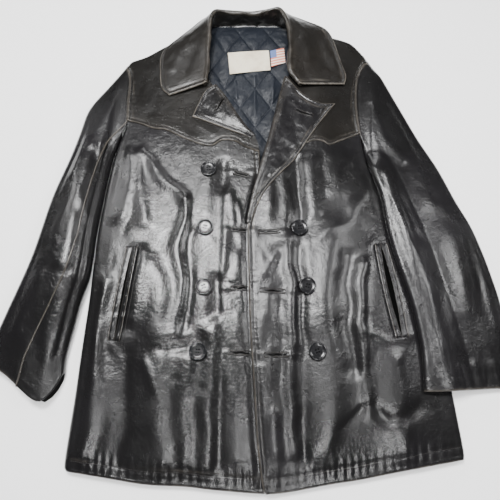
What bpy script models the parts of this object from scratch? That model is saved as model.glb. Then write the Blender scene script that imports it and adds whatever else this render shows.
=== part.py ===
"""A hip-length double-breasted leather coat, laid flat on its back with both lapels folded open.

All tables are in millimetres. +Z is up, +Y runs towards the collar and +X is the wearer's left.
The origin is under the middle of the laid coat, on the surface that it lies on.
"""

import math

import bmesh
import bpy
import numpy as np
from mathutils import Vector
from mathutils.bvhtree import BVHTree

MM = 0.001

# Driving thicknesses and gaps
LEATHER = 1.8
COLLAR_THICK = 2.6
LABEL_THICK = 1.0
SEAM_GAP = 0.3
ARMHOLE_GAP = 0.5
FOLD_GAP = 1.2
REST_GAP = 0.6

# Seams along the body's sides and shoulders stand this high above the floor
BODY_SEAM_Z = 7.5
# Plan width of the rounded edges
ROLL_R = 12.0
ROLL_L = 7.0
BACK_ROLL = 8.0
SHOULDER_ROLL = 10.0
SLEEVE_ROLL_R = 13.0
SLEEVE_ROLL_L = 10.0
ROLL_ANGLES = (0.0, 30.0, 60.0)

# A rim of cloth that lies flatter than this is cut straight down
NEARLY_FLAT = 0.8
# Points along each armhole where the yoke meets it, shared by the yoke, the sleeve and the back
ARMHOLE_STEPS = 9
ARMHOLE_TIP = 0.10
UNDERARM_STEP = 0.25
# Points along each yoke seam, shared by the pieces on both sides of it
SEAM_STEPS = 14
BODY_CENTRE = (0.0, 400.0)

# Body outline in plan, x and y, from the hem up
SIDE_R = ((-277, -419), (-280, -408), (-278, -360), (-275, -302), (-273, -239), (-270, -170), (-269, -125),
          (-268, -83), (-267, -38), (-262, 26), (-257, 75), (-251, 116), (-242, 153))
SIDE_L = ((324, -403), (325, -388), (322, -344), (319, -306), (311, -240), (304, -200), (295, -150),
          (284, -101), (268, -41), (247, 22), (231, 60), (219, 90), (213, 120), (208, 148))
ARMHOLE_R = ((-242, 153), (-235, 170), (-232, 187), (-233, 233), (-233, 279), (-240, 305), (-246, 318))
ARMHOLE_L = ((208, 148), (206, 160), (203, 205), (203, 240), (206, 271), (211, 291), (222, 314), (240, 328))
SHOULDER_R = ((-246, 318), (-237, 328), (-208, 340), (-180, 359), (-135, 386), (-78, 418))
SHOULDER_L = ((240, 328), (225, 349), (208, 370), (190, 380), (150, 393), (78, 417))
BACK_NECK = ((-78, 418), (0, 428), (78, 417))
HEM_R = ((-277, -419), (-215, -428), (-155, -437), (-96, -440), (-48, -445), (22, -450))
HEM_L = ((324, -403), (239, -417), (167, -430), (119, -437), (59, -447), (23, -450))
FRONT_EDGE_R = ((22, -450), (21, -300), (20, -100), (19, 10), (18, 60), (18, 100), (17, 118))
FRONT_EDGE_L = ((23, -450), (18, -437), (11, -383), (7, -317), (4, -269), (0, -203), (-2, -132), (-4, -58),
                (-3, -22), (3, 8), (10, 40), (24, 90), (34, 125))
YOKE_SEAM_R = ((-232, 187), (-208, 180), (-179, 168), (-158, 165), (-126, 149), (-94, 135), (-70, 131),
               (-52, 142), (-27, 140), (-8, 128), (17, 118))
YOKE_SEAM_L = ((206, 160), (192, 154), (166, 142), (147, 133), (135, 140), (120, 142), (104, 137), (70, 130),
               (34, 125))
NECK_R = ((-78, 418), (-85, 395), (-87, 370), (-87, 345), (-86, 310), (-82, 285), (-70, 262), (-48, 230), (-28, 194),
          (-9, 168), (7, 153), (14, 138), (17, 118))
NECK_L = ((78, 417), (84, 395), (86, 370), (84, 345), (83, 320), (80, 300), (72, 280), (60, 233), (43, 160), (34, 125))

# How high the fronts lie above the floor: y, height at the middle, at the right and at the left side
BODY_HEIGHTS = (
    (-452, 13.0, 13.0, 13.0),
    (-400, 17.0, 16.0, 14.0),
    (-300, 20.0, 19.0, 14.0),
    (-150, 22.0, 20.0, 14.0),
    (0, 23.0, 20.0, 14.5),
    (150, 24.0, 21.0, 18.0),
    (300, 23.0, 21.0, 20.0),
    (430, 20.0, 19.0, 19.0),
)
SIDE_BLEND = 80.0
# The left front lies over the right one up to this x, and comes down over the next stretch
OVERLAP_X = 30.0
OVERLAP_BLEND = 30.0

# Soft ridges (height above 0) and troughs (below 0) of the fronts: start, end, half width, height
BODY_FOLDS = (
    # Radiating from the right armhole
    (-217, 128, -213, 50, 9, 4.0),
    (-213, 50, -224, -20, 11, 3.5),
    (-205, 118, -193, 48, 8, 3.5),
    (-193, 48, -180, -30, 10, 3.0),
    (-200, 126, -165, 75, 8, 4.0),
    (-165, 75, -112, 22, 9, 3.5),
    # Right front, long hanging folds
    (-243, -110, -247, -410, 13, 5.0),
    (-176, -70, -190, -200, 12, 4.0),
    (-165, -90, -143, -240, 18, 5.0),
    (-143, -240, -139, -425, 17, 4.5),
    (-112, 30, -115, -90, 8, 4.0),
    (-115, -90, -123, -230, 8, 4.0),
    (-98, -30, -104, -210, 10, -3.0),
    (-104, -250, -100, -420, 11, 3.5),
    (-60, -205, -66, -425, 11, 4.0),
    (-44, 40, -48, -120, 11, 3.5),
    (-150, -246, -104, -242, 5, -2.0),
    (-196, -240, -192, -415, 12, -3.0),
    # Left front, from the lapel's foot and the buttonholes
    (60, 85, 57, -60, 10, 3.5),
    (87, 110, 84, -30, 9, -4.5),
    (110, 110, 116, -10, 13, 4.0),
    (176, 120, 160, 20, 16, 4.0),
    (72, -40, 68, -190, 8, 4.5),
    (68, -190, 71, -400, 8, 4.5),
    (86, -60, 84, -410, 9, -3.0),
    (144, -20, 130, -210, 20, 5.0),
    (130, -210, 118, -400, 17, 4.0),
    (168, -70, 161, -280, 11, -4.0),
    (190, -90, 179, -270, 9, 5.0),
    (179, -270, 194, -345, 9, 4.0),
    (136, -361, 185, -327, 7, -2.5),
    (190, -329, 221, -353, 7, -2.5),
    (224, -353, 268, -318, 8, -2.5),
    (226, -240, 236, -400, 13, 4.0),
    (34, -150, 40, -400, 9, 2.5),
)

# Right sleeve, outlines from the armhole to the cuff
SLEEVE_OUT_R = ((-246, 318), (-259, 297), (-279, 264), (-302, 227), (-313, 199), (-321, 155), (-333, 102),
                (-354, 26), (-374, -80), (-404, -181), (-427, -256))
SLEEVE_IN_R = ((-242, 153), (-255, 117), (-261, 75), (-266, 26), (-271, -38), (-272, -83), (-274, -120),
               (-278, -146), (-283, -170), (-288, -203), (-293, -232), (-296, -255), (-296, -276))
CUFF_R = ((-427, -256), (-383, -281), (-355, -303), (-337, -316), (-322, -319), (-305, -300), (-296, -276))
# Where the right sleeve's front seam runs, as a share of the way from the outer edge to the inner one
SEAM_SHARE_R = ((0.0, 0.94), (0.1, 0.86), (0.3, 0.78), (0.5, 0.80), (0.7, 0.66), (0.85, 0.52), (1.0, 0.42))
# Left sleeve, lying partly on the body's side
SLEEVE_OUT_L = ((240, 328), (248, 312), (262, 289), (287, 227), (317, 153), (347, 90), (371, 25), (391, -23),
                (405, -75), (414, -120), (420, -158), (424, -208), (426, -256), (424, -299))
SLEEVE_IN_L = ((208, 148), (215, 120), (221, 90), (226, 60), (232, 22), (238, -41), (249, -101), (261, -150),
               (269, -200), (273, -240), (272, -275), (270, -305))
CUFF_L = ((424, -299), (381, -300), (297, -305), (270, -305))
# Sleeve heights: share of its length, height at the edges and at the crown
SLEEVE_HEIGHTS_R = ((0.0, 20, 24), (0.15, 24, 32), (0.4, 29, 42), (0.65, 29, 42), (0.85, 24, 34), (1.0, 19, 27))
SLEEVE_HEIGHTS_L = ((0.0, 18, 23), (0.15, 16, 25), (0.4, 14, 25), (0.7, 14, 24), (1.0, 11, 18))
SLEEVE_START_BLEND = 0.10
# The hidden lower layer of a sleeve starts on a straight line from shoulder tip to underarm, set back
UNDER_SHARES = np.linspace(0.13, 0.86, 9)
UNDER_SET_BACK = 3.0
# The left sleeve lies on the body below this y, and comes down to the floor at this slope
LIES_ON_BELOW_Y = 80.0
LIE_CLEARANCE = 1.3
LIE_FLAT = 5.0
LIE_SLOPE = 0.45
SLEEVE_FOLDS = (
    # Right sleeve
    (-300, 150, -318, 60, 10, 4.0),
    (-282, 120, -287, 20, 8, -3.0),
    (-330, 30, -352, -80, 12, -3.0),
    (-300, -10, -312, -110, 10, 4.0),
    (-345, -120, -372, -220, 12, 4.0),
    (-325, -160, -345, -290, 10, -3.0),
    # Left sleeve
    (262, 230, 300, 110, 12, 4.0),
    (300, 110, 322, 10, 12, 3.0),
    (262, 60, 290, -60, 10, -3.0),
    (345, -30, 352, -200, 18, 4.0),
    (310, -90, 318, -230, 12, -3.0),
    (385, -60, 398, -190, 10, -2.5),
    (292, -150, 300, -270, 8, 2.5),
)

# Lapels: y of the fold's foot and top, then the free edge from the foot up, and the top edge
LAPEL_FOLD_R = (152, 261)
LAPEL_EDGE_R = ((0, 147), (-20, 155), (-65, 174), (-109, 193))
LAPEL_TOP_R = ((-70, 261), (-84, 252), (-98, 224), (-109, 193))
LAPEL_FOLD_L = (-22, 280)
LAPEL_EDGE_L = ((3, -26), (12, 6), (26, 36), (51, 68), (82, 103), (106, 141), (129, 176), (163, 223))
LAPEL_TOP_L = ((72, 280), (97, 246), (130, 224), (163, 223))
FOLD_INSIDE_FOOT = 0.8
FOLD_INSIDE_TOP = 2.8
LAPEL_EDGE_LIFT = 1.0

# Collar, from its right front end round the neck to its left front end:
# neck seam x, y, z, top of the roll x, y, z, outer edge x, y, z
COLLAR = (
    (-88, 264, 22, -86, 263, 35, -155, 239, 27),
    (-89, 281, 22, -84, 283, 37, -171, 258, 27),
    (-89, 306, 25, -82, 309, 38, -176, 296, 27),
    (-89, 335, 24, -82, 338, 40, -177, 326, 27),
    (-89, 362, 22, -81, 367, 42, -171, 347, 26),
    (-87, 387, 19, -80, 393, 44, -157, 365, 24),
    (-82, 408, 14, -77, 415, 45, -124, 403, 19),
    (-70, 422, 8, -68, 430, 45, -93, 439, 13),
    (-45, 429, 3, -44, 431, 41, -56, 453, 6),
    (0, 430, 3, 0, 430, 39, 0, 456, 5),
    (36, 429, 3, 34, 432, 43, 43, 455, 6),
    (62, 423, 8, 57, 433, 47, 79, 447, 13),
    (77, 406, 14, 70, 413, 46, 118, 424, 20),
    (83, 384, 19, 77, 390, 44, 150, 404, 24),
    (86, 360, 22, 79, 362, 42, 164, 382, 26),
    (86, 332, 25, 79, 332, 40, 173, 346, 27),
    (84, 308, 25, 78, 306, 38, 180, 315, 27),
    (85, 288, 22, 81, 287, 37, 187, 285, 27),
    (99, 262, 22, 97, 260, 36, 183, 265, 27),
)
COLLAR_ROLL_RADIUS = 4.6
# The collar's foot stands clear of whatever lies this far outside the neck seam
COLLAR_FOOT_REACH = 5.0
STAND_STEPS = (0.0, 0.6)
ROLL_STEPS = (0.0, 55.0, 100.0, 145.0)
FALL_STEPS = (0.3, 0.62, 0.86, 1.0)

# Quilted lining, seen in the neck opening
LINING_Z = 2.1
LINING_THICK = 2.2
QUILT_RISE = 3.0
DIAMOND_WIDTH = 60.0
DIAMOND_HEIGHT = 88.0
CELLS_PER_DIAMOND = 4
DIAMOND_CENTRE = (9.6, 228.0)
LINING_SHOWS = ((-82, 424), (-88, 330), (-80, 268), (-52, 214), (-22, 168), (-2, 120), (0, 60), (40, 60),
                (50, 130), (70, 200), (84, 280), (90, 330), (84, 424))
LINING_TOP = 426.0
LABEL = ((-45, 355), (38, 361), (41, 313), (-40, 303))
FLAG_TAG = ((41, 360), (69, 367), (71, 331), (43, 321))

# Buttons
BUTTON_RADIUS = 14.5
BUTTON_SIDES = 14
BUTTON_PROFILE = ((0.0, 0.0), (11.0, 0.0), (14.5, 1.6), (14.0, 4.4), (12.2, 4.4), (11.2, 3.2), (0.0, 3.0))
BUTTONS_R = ((-75, 82), (-78, -31), (-77, -137), (-83, -243))
BUTTONS_L = ((86, -32), (96, -136), (107, -243))

# Pocket openings, each with two lips: top and bottom of the slit, lip width, how far it gapes
POCKET_R = ((-201, -66), (-219, -226), 10.5, 0.6)
POCKET_L = ((224, -60), (245, -221), 11.0, 9.0)
LIP_THICK = 2.0

COLOURS = {
    "leather": ((0.018, 0.016, 0.017), 0.32),
    "collar_leather": ((0.024, 0.020, 0.018), 0.36),
    "lining": ((0.012, 0.014, 0.018), 0.55),
    "label": ((0.62, 0.56, 0.45), 0.85),
    "tag": ((0.55, 0.42, 0.38), 0.85),
    "button": ((0.012, 0.012, 0.013), 0.25),
}


def clear_scene():
    """Removes whatever the scene holds."""
    for thing in list(bpy.data.objects):
        bpy.data.objects.remove(thing, do_unlink=True)


def ease(amount):
    """Smooth step from 0 to 1, for numbers and arrays."""
    amount = np.clip(amount, 0.0, 1.0)
    return amount * amount * (3.0 - 2.0 * amount)


def smooth_line(points, per_span=10):
    """A dense Catmull-Rom line through the points, as an array."""
    knots = np.array(points, dtype=float)
    ends = np.vstack([2 * knots[0] - knots[1], knots, 2 * knots[-1] - knots[-2]])
    dense = []
    for i in range(len(knots) - 1):
        a, b, c, d = ends[i:i + 4]
        for t in np.arange(per_span) / per_span:
            dense.append(0.5 * (2 * b + (c - a) * t + (2 * a - 5 * b + 4 * c - d) * t ** 2
                                + (3 * b - a - 3 * c + d) * t ** 3))
    dense.append(knots[-1])
    return np.array(dense)


def on_line(points, shares):
    """Places along the smooth line at these shares of its length."""
    dense = smooth_line(points)
    steps = np.linalg.norm(np.diff(dense[:, :2], axis=0), axis=1)
    length = np.concatenate([[0.0], np.cumsum(steps)])
    wanted = np.asarray(shares) * length[-1]
    return np.stack([np.interp(wanted, length, dense[:, k]) for k in range(dense.shape[1])], axis=1)


def evenly(count):
    """Shares from 0 to 1."""
    return np.linspace(0.0, 1.0, count)


def read_table(table, key, column):
    """A column of a table, read at a value of its first column."""
    rows = np.array(table, dtype=float)
    return np.interp(key, rows[:, 0], rows[:, column])


def coons(side_a, side_b, start, end, row_shares, column_shares, fade=1):
    """Plan points between four outlines: rows run from start to end, columns from side a to side b."""
    s = row_shares[:, None, None]
    u = column_shares[None, :, None]
    ruled_across = (1 - u) * side_a[:, None] + u * side_b[:, None]
    start_bow = start[None] - ((1 - u) * start[0] + u * start[-1])
    end_bow = end[None] - ((1 - u) * end[0] + u * end[-1])
    return ruled_across + (1 - s) ** fade * start_bow + s ** fade * end_bow


def inward_normals(edge, towards):
    """Plan unit vectors square to an edge, pointing to the side where the other points lie."""
    along = np.gradient(edge, axis=0)
    normals = np.stack([-along[:, 1], along[:, 0]], axis=1)
    normals /= np.linalg.norm(normals, axis=1)[:, None]
    signs = np.sign(np.sum(normals * (towards - edge), axis=1))
    signs[signs == 0] = 1
    return normals * signs[:, None]


def fold_relief(x, y, folds):
    """Height that the listed folds add at plan points."""
    total = np.zeros_like(x)
    for x0, y0, x1, y1, half_width, height in folds:
        dx, dy = x1 - x0, y1 - y0
        length = math.hypot(dx, dy)
        t = ((x - x0) * dx + (y - y0) * dy) / length ** 2
        across = np.abs((x - x0) * dy - (y - y0) * dx) / length
        tip = 1.2 * half_width / length
        fade = ease((t + tip) / (2.5 * tip)) * ease((1 + tip - t) / (2.5 * tip))
        total += height * fade * np.exp(-(across / half_width) ** 2)
    return total


def side_x(outline, y):
    """The x of a side outline at a height y on the coat."""
    dense = smooth_line(outline)
    order = np.argsort(dense[:, 1])
    return np.interp(y, dense[order, 1], dense[order, 0])


def front_height(x, y):
    """Top of the fronts above the floor, before the overlap."""
    x = np.asarray(x, dtype=float)
    y = np.asarray(y, dtype=float)
    middle = read_table(BODY_HEIGHTS, y, 1)
    from_right = x - side_x(SIDE_R + ARMHOLE_R[1:], y)
    from_left = side_x(SIDE_L + ARMHOLE_L[1:], y) - x
    right = read_table(BODY_HEIGHTS, y, 2)
    left = read_table(BODY_HEIGHTS, y, 3)
    base = np.minimum(right + (middle - right) * ease(from_right / SIDE_BLEND),
                      left + (middle - left) * ease(from_left / SIDE_BLEND))
    calm = ease((np.minimum(from_right, from_left) - 8.0) / 22.0)
    return base + calm * fold_relief(x, y, BODY_FOLDS)


def left_front_height(x, y):
    """Top of the left front, which lies over the right one along the middle."""
    lift = (LEATHER + SEAM_GAP + 0.3) * ease((OVERLAP_X + OVERLAP_BLEND - np.asarray(x)) / OVERLAP_BLEND)
    return front_height(x, y) + lift


def rolled_columns(edge, first, seam_z, top_z, amount):
    """Columns of points that round an edge, from the seam to the panel's first column."""
    columns = []
    for angle in np.radians(ROLL_ANGLES):
        plan = edge + (first - edge) * (1 - math.cos(angle))
        z = top_z + amount * (seam_z - top_z) * (1 - math.sin(angle))
        columns.append(np.column_stack([plan, z]))
    return np.stack(columns, axis=1)


def unit(vectors):
    """Vectors at length 1."""
    return vectors / np.maximum(np.linalg.norm(vectors, axis=-1, keepdims=True), 1e-9)


def grid_normals(grid, probe):
    """Unit normals of a grid of points; at the probed row and column z has the probed sign."""
    along = np.gradient(grid, axis=0)
    across = np.gradient(grid, axis=1)
    normals = unit(np.cross(along, across))
    row, column, sign = probe
    if normals[row, column, 2] * sign < 0:
        normals = -normals
    return normals


def square_rim(normals, grid, edge, neighbour, kind):
    """Turns the normals of a rim so that its face is level ('level'), upright ('plumb') or square to a plan vector."""
    if kind is None:
        return
    here = grid[edge]
    out = here - grid[neighbour]
    level = np.array([0.0, 0.0, 1.0])
    kinds = [kind] * len(here) if isinstance(kind, str) else kind
    for i, one in enumerate(kinds):
        if one is None:
            continue
        if not isinstance(one, str):
            away = unit(np.array([one[0], one[1], 0.0]))
        else:
            away = level if one == "level" else unit(np.array([out[i, 0], out[i, 1], 0.0]))
        n = normals[edge][i]
        n = unit(n - np.dot(n, away) * away)
        if away is not level and abs(n[2]) > NEARLY_FLAT:
            n = level * np.sign(n[2])
        normals[edge][i] = n


def wall_mesh(outer, inner):
    """A closed wall between two grids of points."""
    rows, columns = outer.shape[:2]
    count = rows * columns
    faces = []

    def at(layer, row, column):
        return layer * count + row * columns + column

    for r in range(rows - 1):
        for c in range(columns - 1):
            quad = [(r, c), (r, c + 1), (r + 1, c + 1), (r + 1, c)]
            faces.append([at(0, *q) for q in quad])
            faces.append([at(1, *q) for q in reversed(quad)])
    border = [(0, c) for c in range(columns - 1)] + [(r, columns - 1) for r in range(rows - 1)]
    border += [(rows - 1, c) for c in range(columns - 1, 0, -1)] + [(r, 0) for r in range(rows - 1, 0, -1)]
    for i, a in enumerate(border):
        b = border[(i + 1) % len(border)]
        faces.append([at(0, *a), at(1, *a), at(1, *b), at(0, *b)])
    return np.vstack([outer.reshape(-1, 3), inner.reshape(-1, 3)]), faces


def material(name):
    """The material of a finish, made once."""
    if name in bpy.data.materials:
        return bpy.data.materials[name]
    colour, roughness = COLOURS[name]
    made = bpy.data.materials.new(name)
    made.use_nodes = True
    shader = made.node_tree.nodes["Principled BSDF"]
    shader.inputs["Base Color"].default_value = (*colour, 1.0)
    shader.inputs["Roughness"].default_value = roughness
    return made


def add_piece(name, points, faces, finish):
    """A named object from points in millimetres, with its faces turned outwards."""
    mesh = bpy.data.meshes.new(name)
    mesh.from_pydata([tuple(p * MM) for p in points], [], faces)
    work = bmesh.new()
    work.from_mesh(mesh)
    bmesh.ops.recalc_face_normals(work, faces=work.faces)
    bmesh.ops.triangulate(work, faces=work.faces)
    work.to_mesh(mesh)
    work.free()
    mesh.shade_smooth()
    piece = bpy.data.objects.new(name, mesh)
    bpy.context.scene.collection.objects.link(piece)
    piece.data.materials.append(material(finish))
    return piece


def add_wall(name, grid, thickness, finish, probe, side_a="plumb", side_b="plumb", start="plumb", end="plumb"):
    """A cloth wall whose outer points are the grid; each rim is squared as named."""
    normals = grid_normals(grid, probe)
    last = grid.shape[1] - 1
    square_rim(normals.transpose(1, 0, 2), grid.transpose(1, 0, 2), 0, 1, side_a)
    square_rim(normals.transpose(1, 0, 2), grid.transpose(1, 0, 2), last, last - 1, side_b)
    square_rim(normals, grid, 0, 1, start)
    square_rim(normals, grid, grid.shape[0] - 1, grid.shape[0] - 2, end)
    points, faces = wall_mesh(grid, grid - thickness * normals)
    add_piece(name, points, faces, finish)


class Cover:
    """The top surfaces that other pieces lie on, asked for their height."""

    def __init__(self):
        self.points = []
        self.faces = []
        self.tree = None

    def add(self, grid):
        """Takes in a panel's outer points."""
        rows, columns = grid.shape[:2]
        base = len(self.points)
        self.points += [tuple(p) for p in grid.reshape(-1, 3)]
        for r in range(rows - 1):
            for c in range(columns - 1):
                first = base + r * columns + c
                self.faces.append((first, first + 1, first + columns + 1, first + columns))
        self.tree = BVHTree.FromPolygons(self.points, self.faces)

    def height(self, x, y, reach=4.0):
        """The highest point of the surfaces within reach of a plan point, or 0 off them."""
        best = 0.0
        for dx, dy in ((0, 0), (1, 0), (-1, 0), (0, 1), (0, -1)):
            hit = self.tree.ray_cast(Vector((x + dx * reach, y + dy * reach, 200.0)), Vector((0, 0, -1)))[0]
            if hit is not None:
                best = max(best, hit.z)
        return best


def front_panel(name, side, hem, edge, seam, roll, height, rows, cover):
    """A front below its yoke, from the side seam across to the front edge."""
    row_shares = evenly(rows)
    column_shares = evenly(SEAM_STEPS)
    outline = on_line(side, row_shares)
    free_edge = on_line(edge, row_shares)
    inner = outline + inward_normals(outline, free_edge) * roll
    hem_length = abs(hem[0][0] - hem[-1][0])
    start = on_line(hem, roll / hem_length + (1 - roll / hem_length) * column_shares)
    inner[0] = start[0]
    end = on_line(seam, column_shares)
    end[0] = on_line(seam, (0.02,))[0]
    inner[-1] = end[0]
    for line in (end, inner[-1:], outline[-1:], free_edge[-1:]):
        line[:, 1] -= SEAM_GAP * 1.5
    plan = coons(inner, free_edge, start, end, row_shares, column_shares)
    body = np.dstack([plan, height(plan[..., 0], plan[..., 1])])
    amount = np.ones(rows)
    amount[-1] = 0.0
    edge_columns = rolled_columns(outline, inner, BODY_SEAM_Z + SEAM_GAP, body[:, 0, 2], amount)
    grid = np.concatenate([edge_columns, body], axis=1)
    kinds = ["level" if one > 0.5 else "plumb" for one in amount]
    add_wall(name, grid, LEATHER, "leather", (rows // 2, 7, 1), side_a=kinds)
    cover.add(grid)
    return free_edge


def yoke_panel(name, shoulder, seam, armhole, neck, height, cover):
    """A front yoke, from the shoulder down to its wavy seam."""
    row_shares = evenly(SEAM_STEPS)
    column_shares = evenly(ARMHOLE_STEPS)
    outline = on_line(shoulder, row_shares)
    low_edge = on_line(seam, row_shares)
    inner = outline + inward_normals(outline, low_edge) * SHOULDER_ROLL
    start = armhole[1:-2]
    end = on_line(neck, 0.04 + 0.96 * column_shares)
    inner[0], inner[-1] = start[0], end[0]
    plan = coons(inner, low_edge, start, end, row_shares, column_shares)
    body = np.dstack([plan, height(plan[..., 0], plan[..., 1])])
    seam_z = np.full(SEAM_STEPS, LEATHER + SEAM_GAP)
    edge_columns = rolled_columns(outline, inner, seam_z, body[:, 0, 2], np.ones(SEAM_STEPS))
    grid = np.concatenate([edge_columns, body], axis=1)
    away = armhole_away(armhole)
    rim = [away[0]] * len(ROLL_ANGLES) + list(away[1:-2])
    add_wall(name, grid, LEATHER, "leather", (SEAM_STEPS // 2, 7, 1), side_a="level", start=rim)
    cover.add(grid)
    return end[::-1]


def armhole_points(armhole, yoke_start):
    """Places along an armhole from the shoulder tip down to the underarm, shared by all that meet there."""
    down = tuple(reversed(armhole))
    upper = on_line(down[:len(down) - yoke_start], ARMHOLE_TIP + (1 - ARMHOLE_TIP) * evenly(ARMHOLE_STEPS))
    low = upper[-1] + UNDERARM_STEP * (np.array(down[-1], dtype=float) - upper[-1])
    return np.vstack([[down[0]], upper, [low], [down[-1]]])


def armhole_away(armhole):
    """Plan unit vectors square to the armhole line, pointing from the body to the sleeve."""
    return -inward_normals(armhole, np.array([BODY_CENTRE]))


def back_panel(armhole_r, armhole_l):
    """The back, flat on the floor, curled up at its sides and shoulders."""
    side_rows, shoulder_rows = 12, 5
    edges = []
    for side, armhole, shoulder in ((SIDE_R, armhole_r, SHOULDER_R), (SIDE_L, armhole_l, SHOULDER_L)):
        edges.append(np.vstack([on_line(side, evenly(side_rows))[:-1], armhole[::-1],
                                on_line(shoulder, evenly(shoulder_rows))[1:]]))
    edge_a, edge_b = edges
    row_count = len(edge_a)
    row_shares = evenly(row_count)
    column_shares = evenly(8)
    inner_a = edge_a + np.array([BACK_ROLL, 0.0])
    inner_b = edge_b - np.array([BACK_ROLL, 0.0])
    hem = [*HEM_R[:-1], (22, -450), *reversed(HEM_L[:-1])]
    start = on_line(hem, column_shares)
    start[0], start[-1] = inner_a[0], inner_b[0]
    end = on_line(BACK_NECK, column_shares)
    end[0], end[-1] = inner_a[-1], inner_b[-1]
    plan = coons(inner_a, inner_b, start, end, row_shares, column_shares)
    body = np.dstack([plan, np.zeros(plan.shape[:2])])
    amount = np.ones(row_count)
    amount[side_rows:] = 0.0
    flat = np.zeros(row_count)
    curl_a = rolled_columns(edge_a, inner_a, BODY_SEAM_Z, flat, amount)
    curl_b = rolled_columns(edge_b, inner_b, BODY_SEAM_Z, flat, amount)[:, ::-1]
    grid = np.concatenate([curl_a, body, curl_b], axis=1)
    kinds = ["level" if one > 0.5 else "plumb" for one in amount]
    add_wall("back", grid, LEATHER, "leather", (5, 6, -1), side_a=kinds, side_b=kinds)


def body_side_samples():
    """Points of the body's left side that the left sleeve has to clear, x, y and z."""
    samples = []
    for y in np.arange(-330.0, LIES_ON_BELOW_Y, 6.0):
        edge = float(side_x(SIDE_L, y))
        for inside in np.arange(0.0, 75.0, 5.0):
            top = float(left_front_height(max(inside, ROLL_L) * -1 + edge, y))
            rise = math.sin(math.acos(1 - min(inside, ROLL_L) / ROLL_L))
            samples.append((edge - inside, y, BODY_SEAM_Z + (top - BODY_SEAM_Z) * rise))
    return np.array(samples)


def lies_on(plan, samples):
    """Underside of the left sleeve: over the body's side, down to the floor beside it."""
    flat = plan.reshape(-1, 2)
    away = np.hypot(flat[:, None, 0] - samples[None, :, 0], flat[:, None, 1] - samples[None, :, 1])
    need = samples[None, :, 2] + LIE_CLEARANCE - LIE_SLOPE * np.maximum(away - LIE_FLAT, 0.0)
    return np.maximum(need.max(axis=1), 0.0).reshape(plan.shape[:2])


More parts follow.
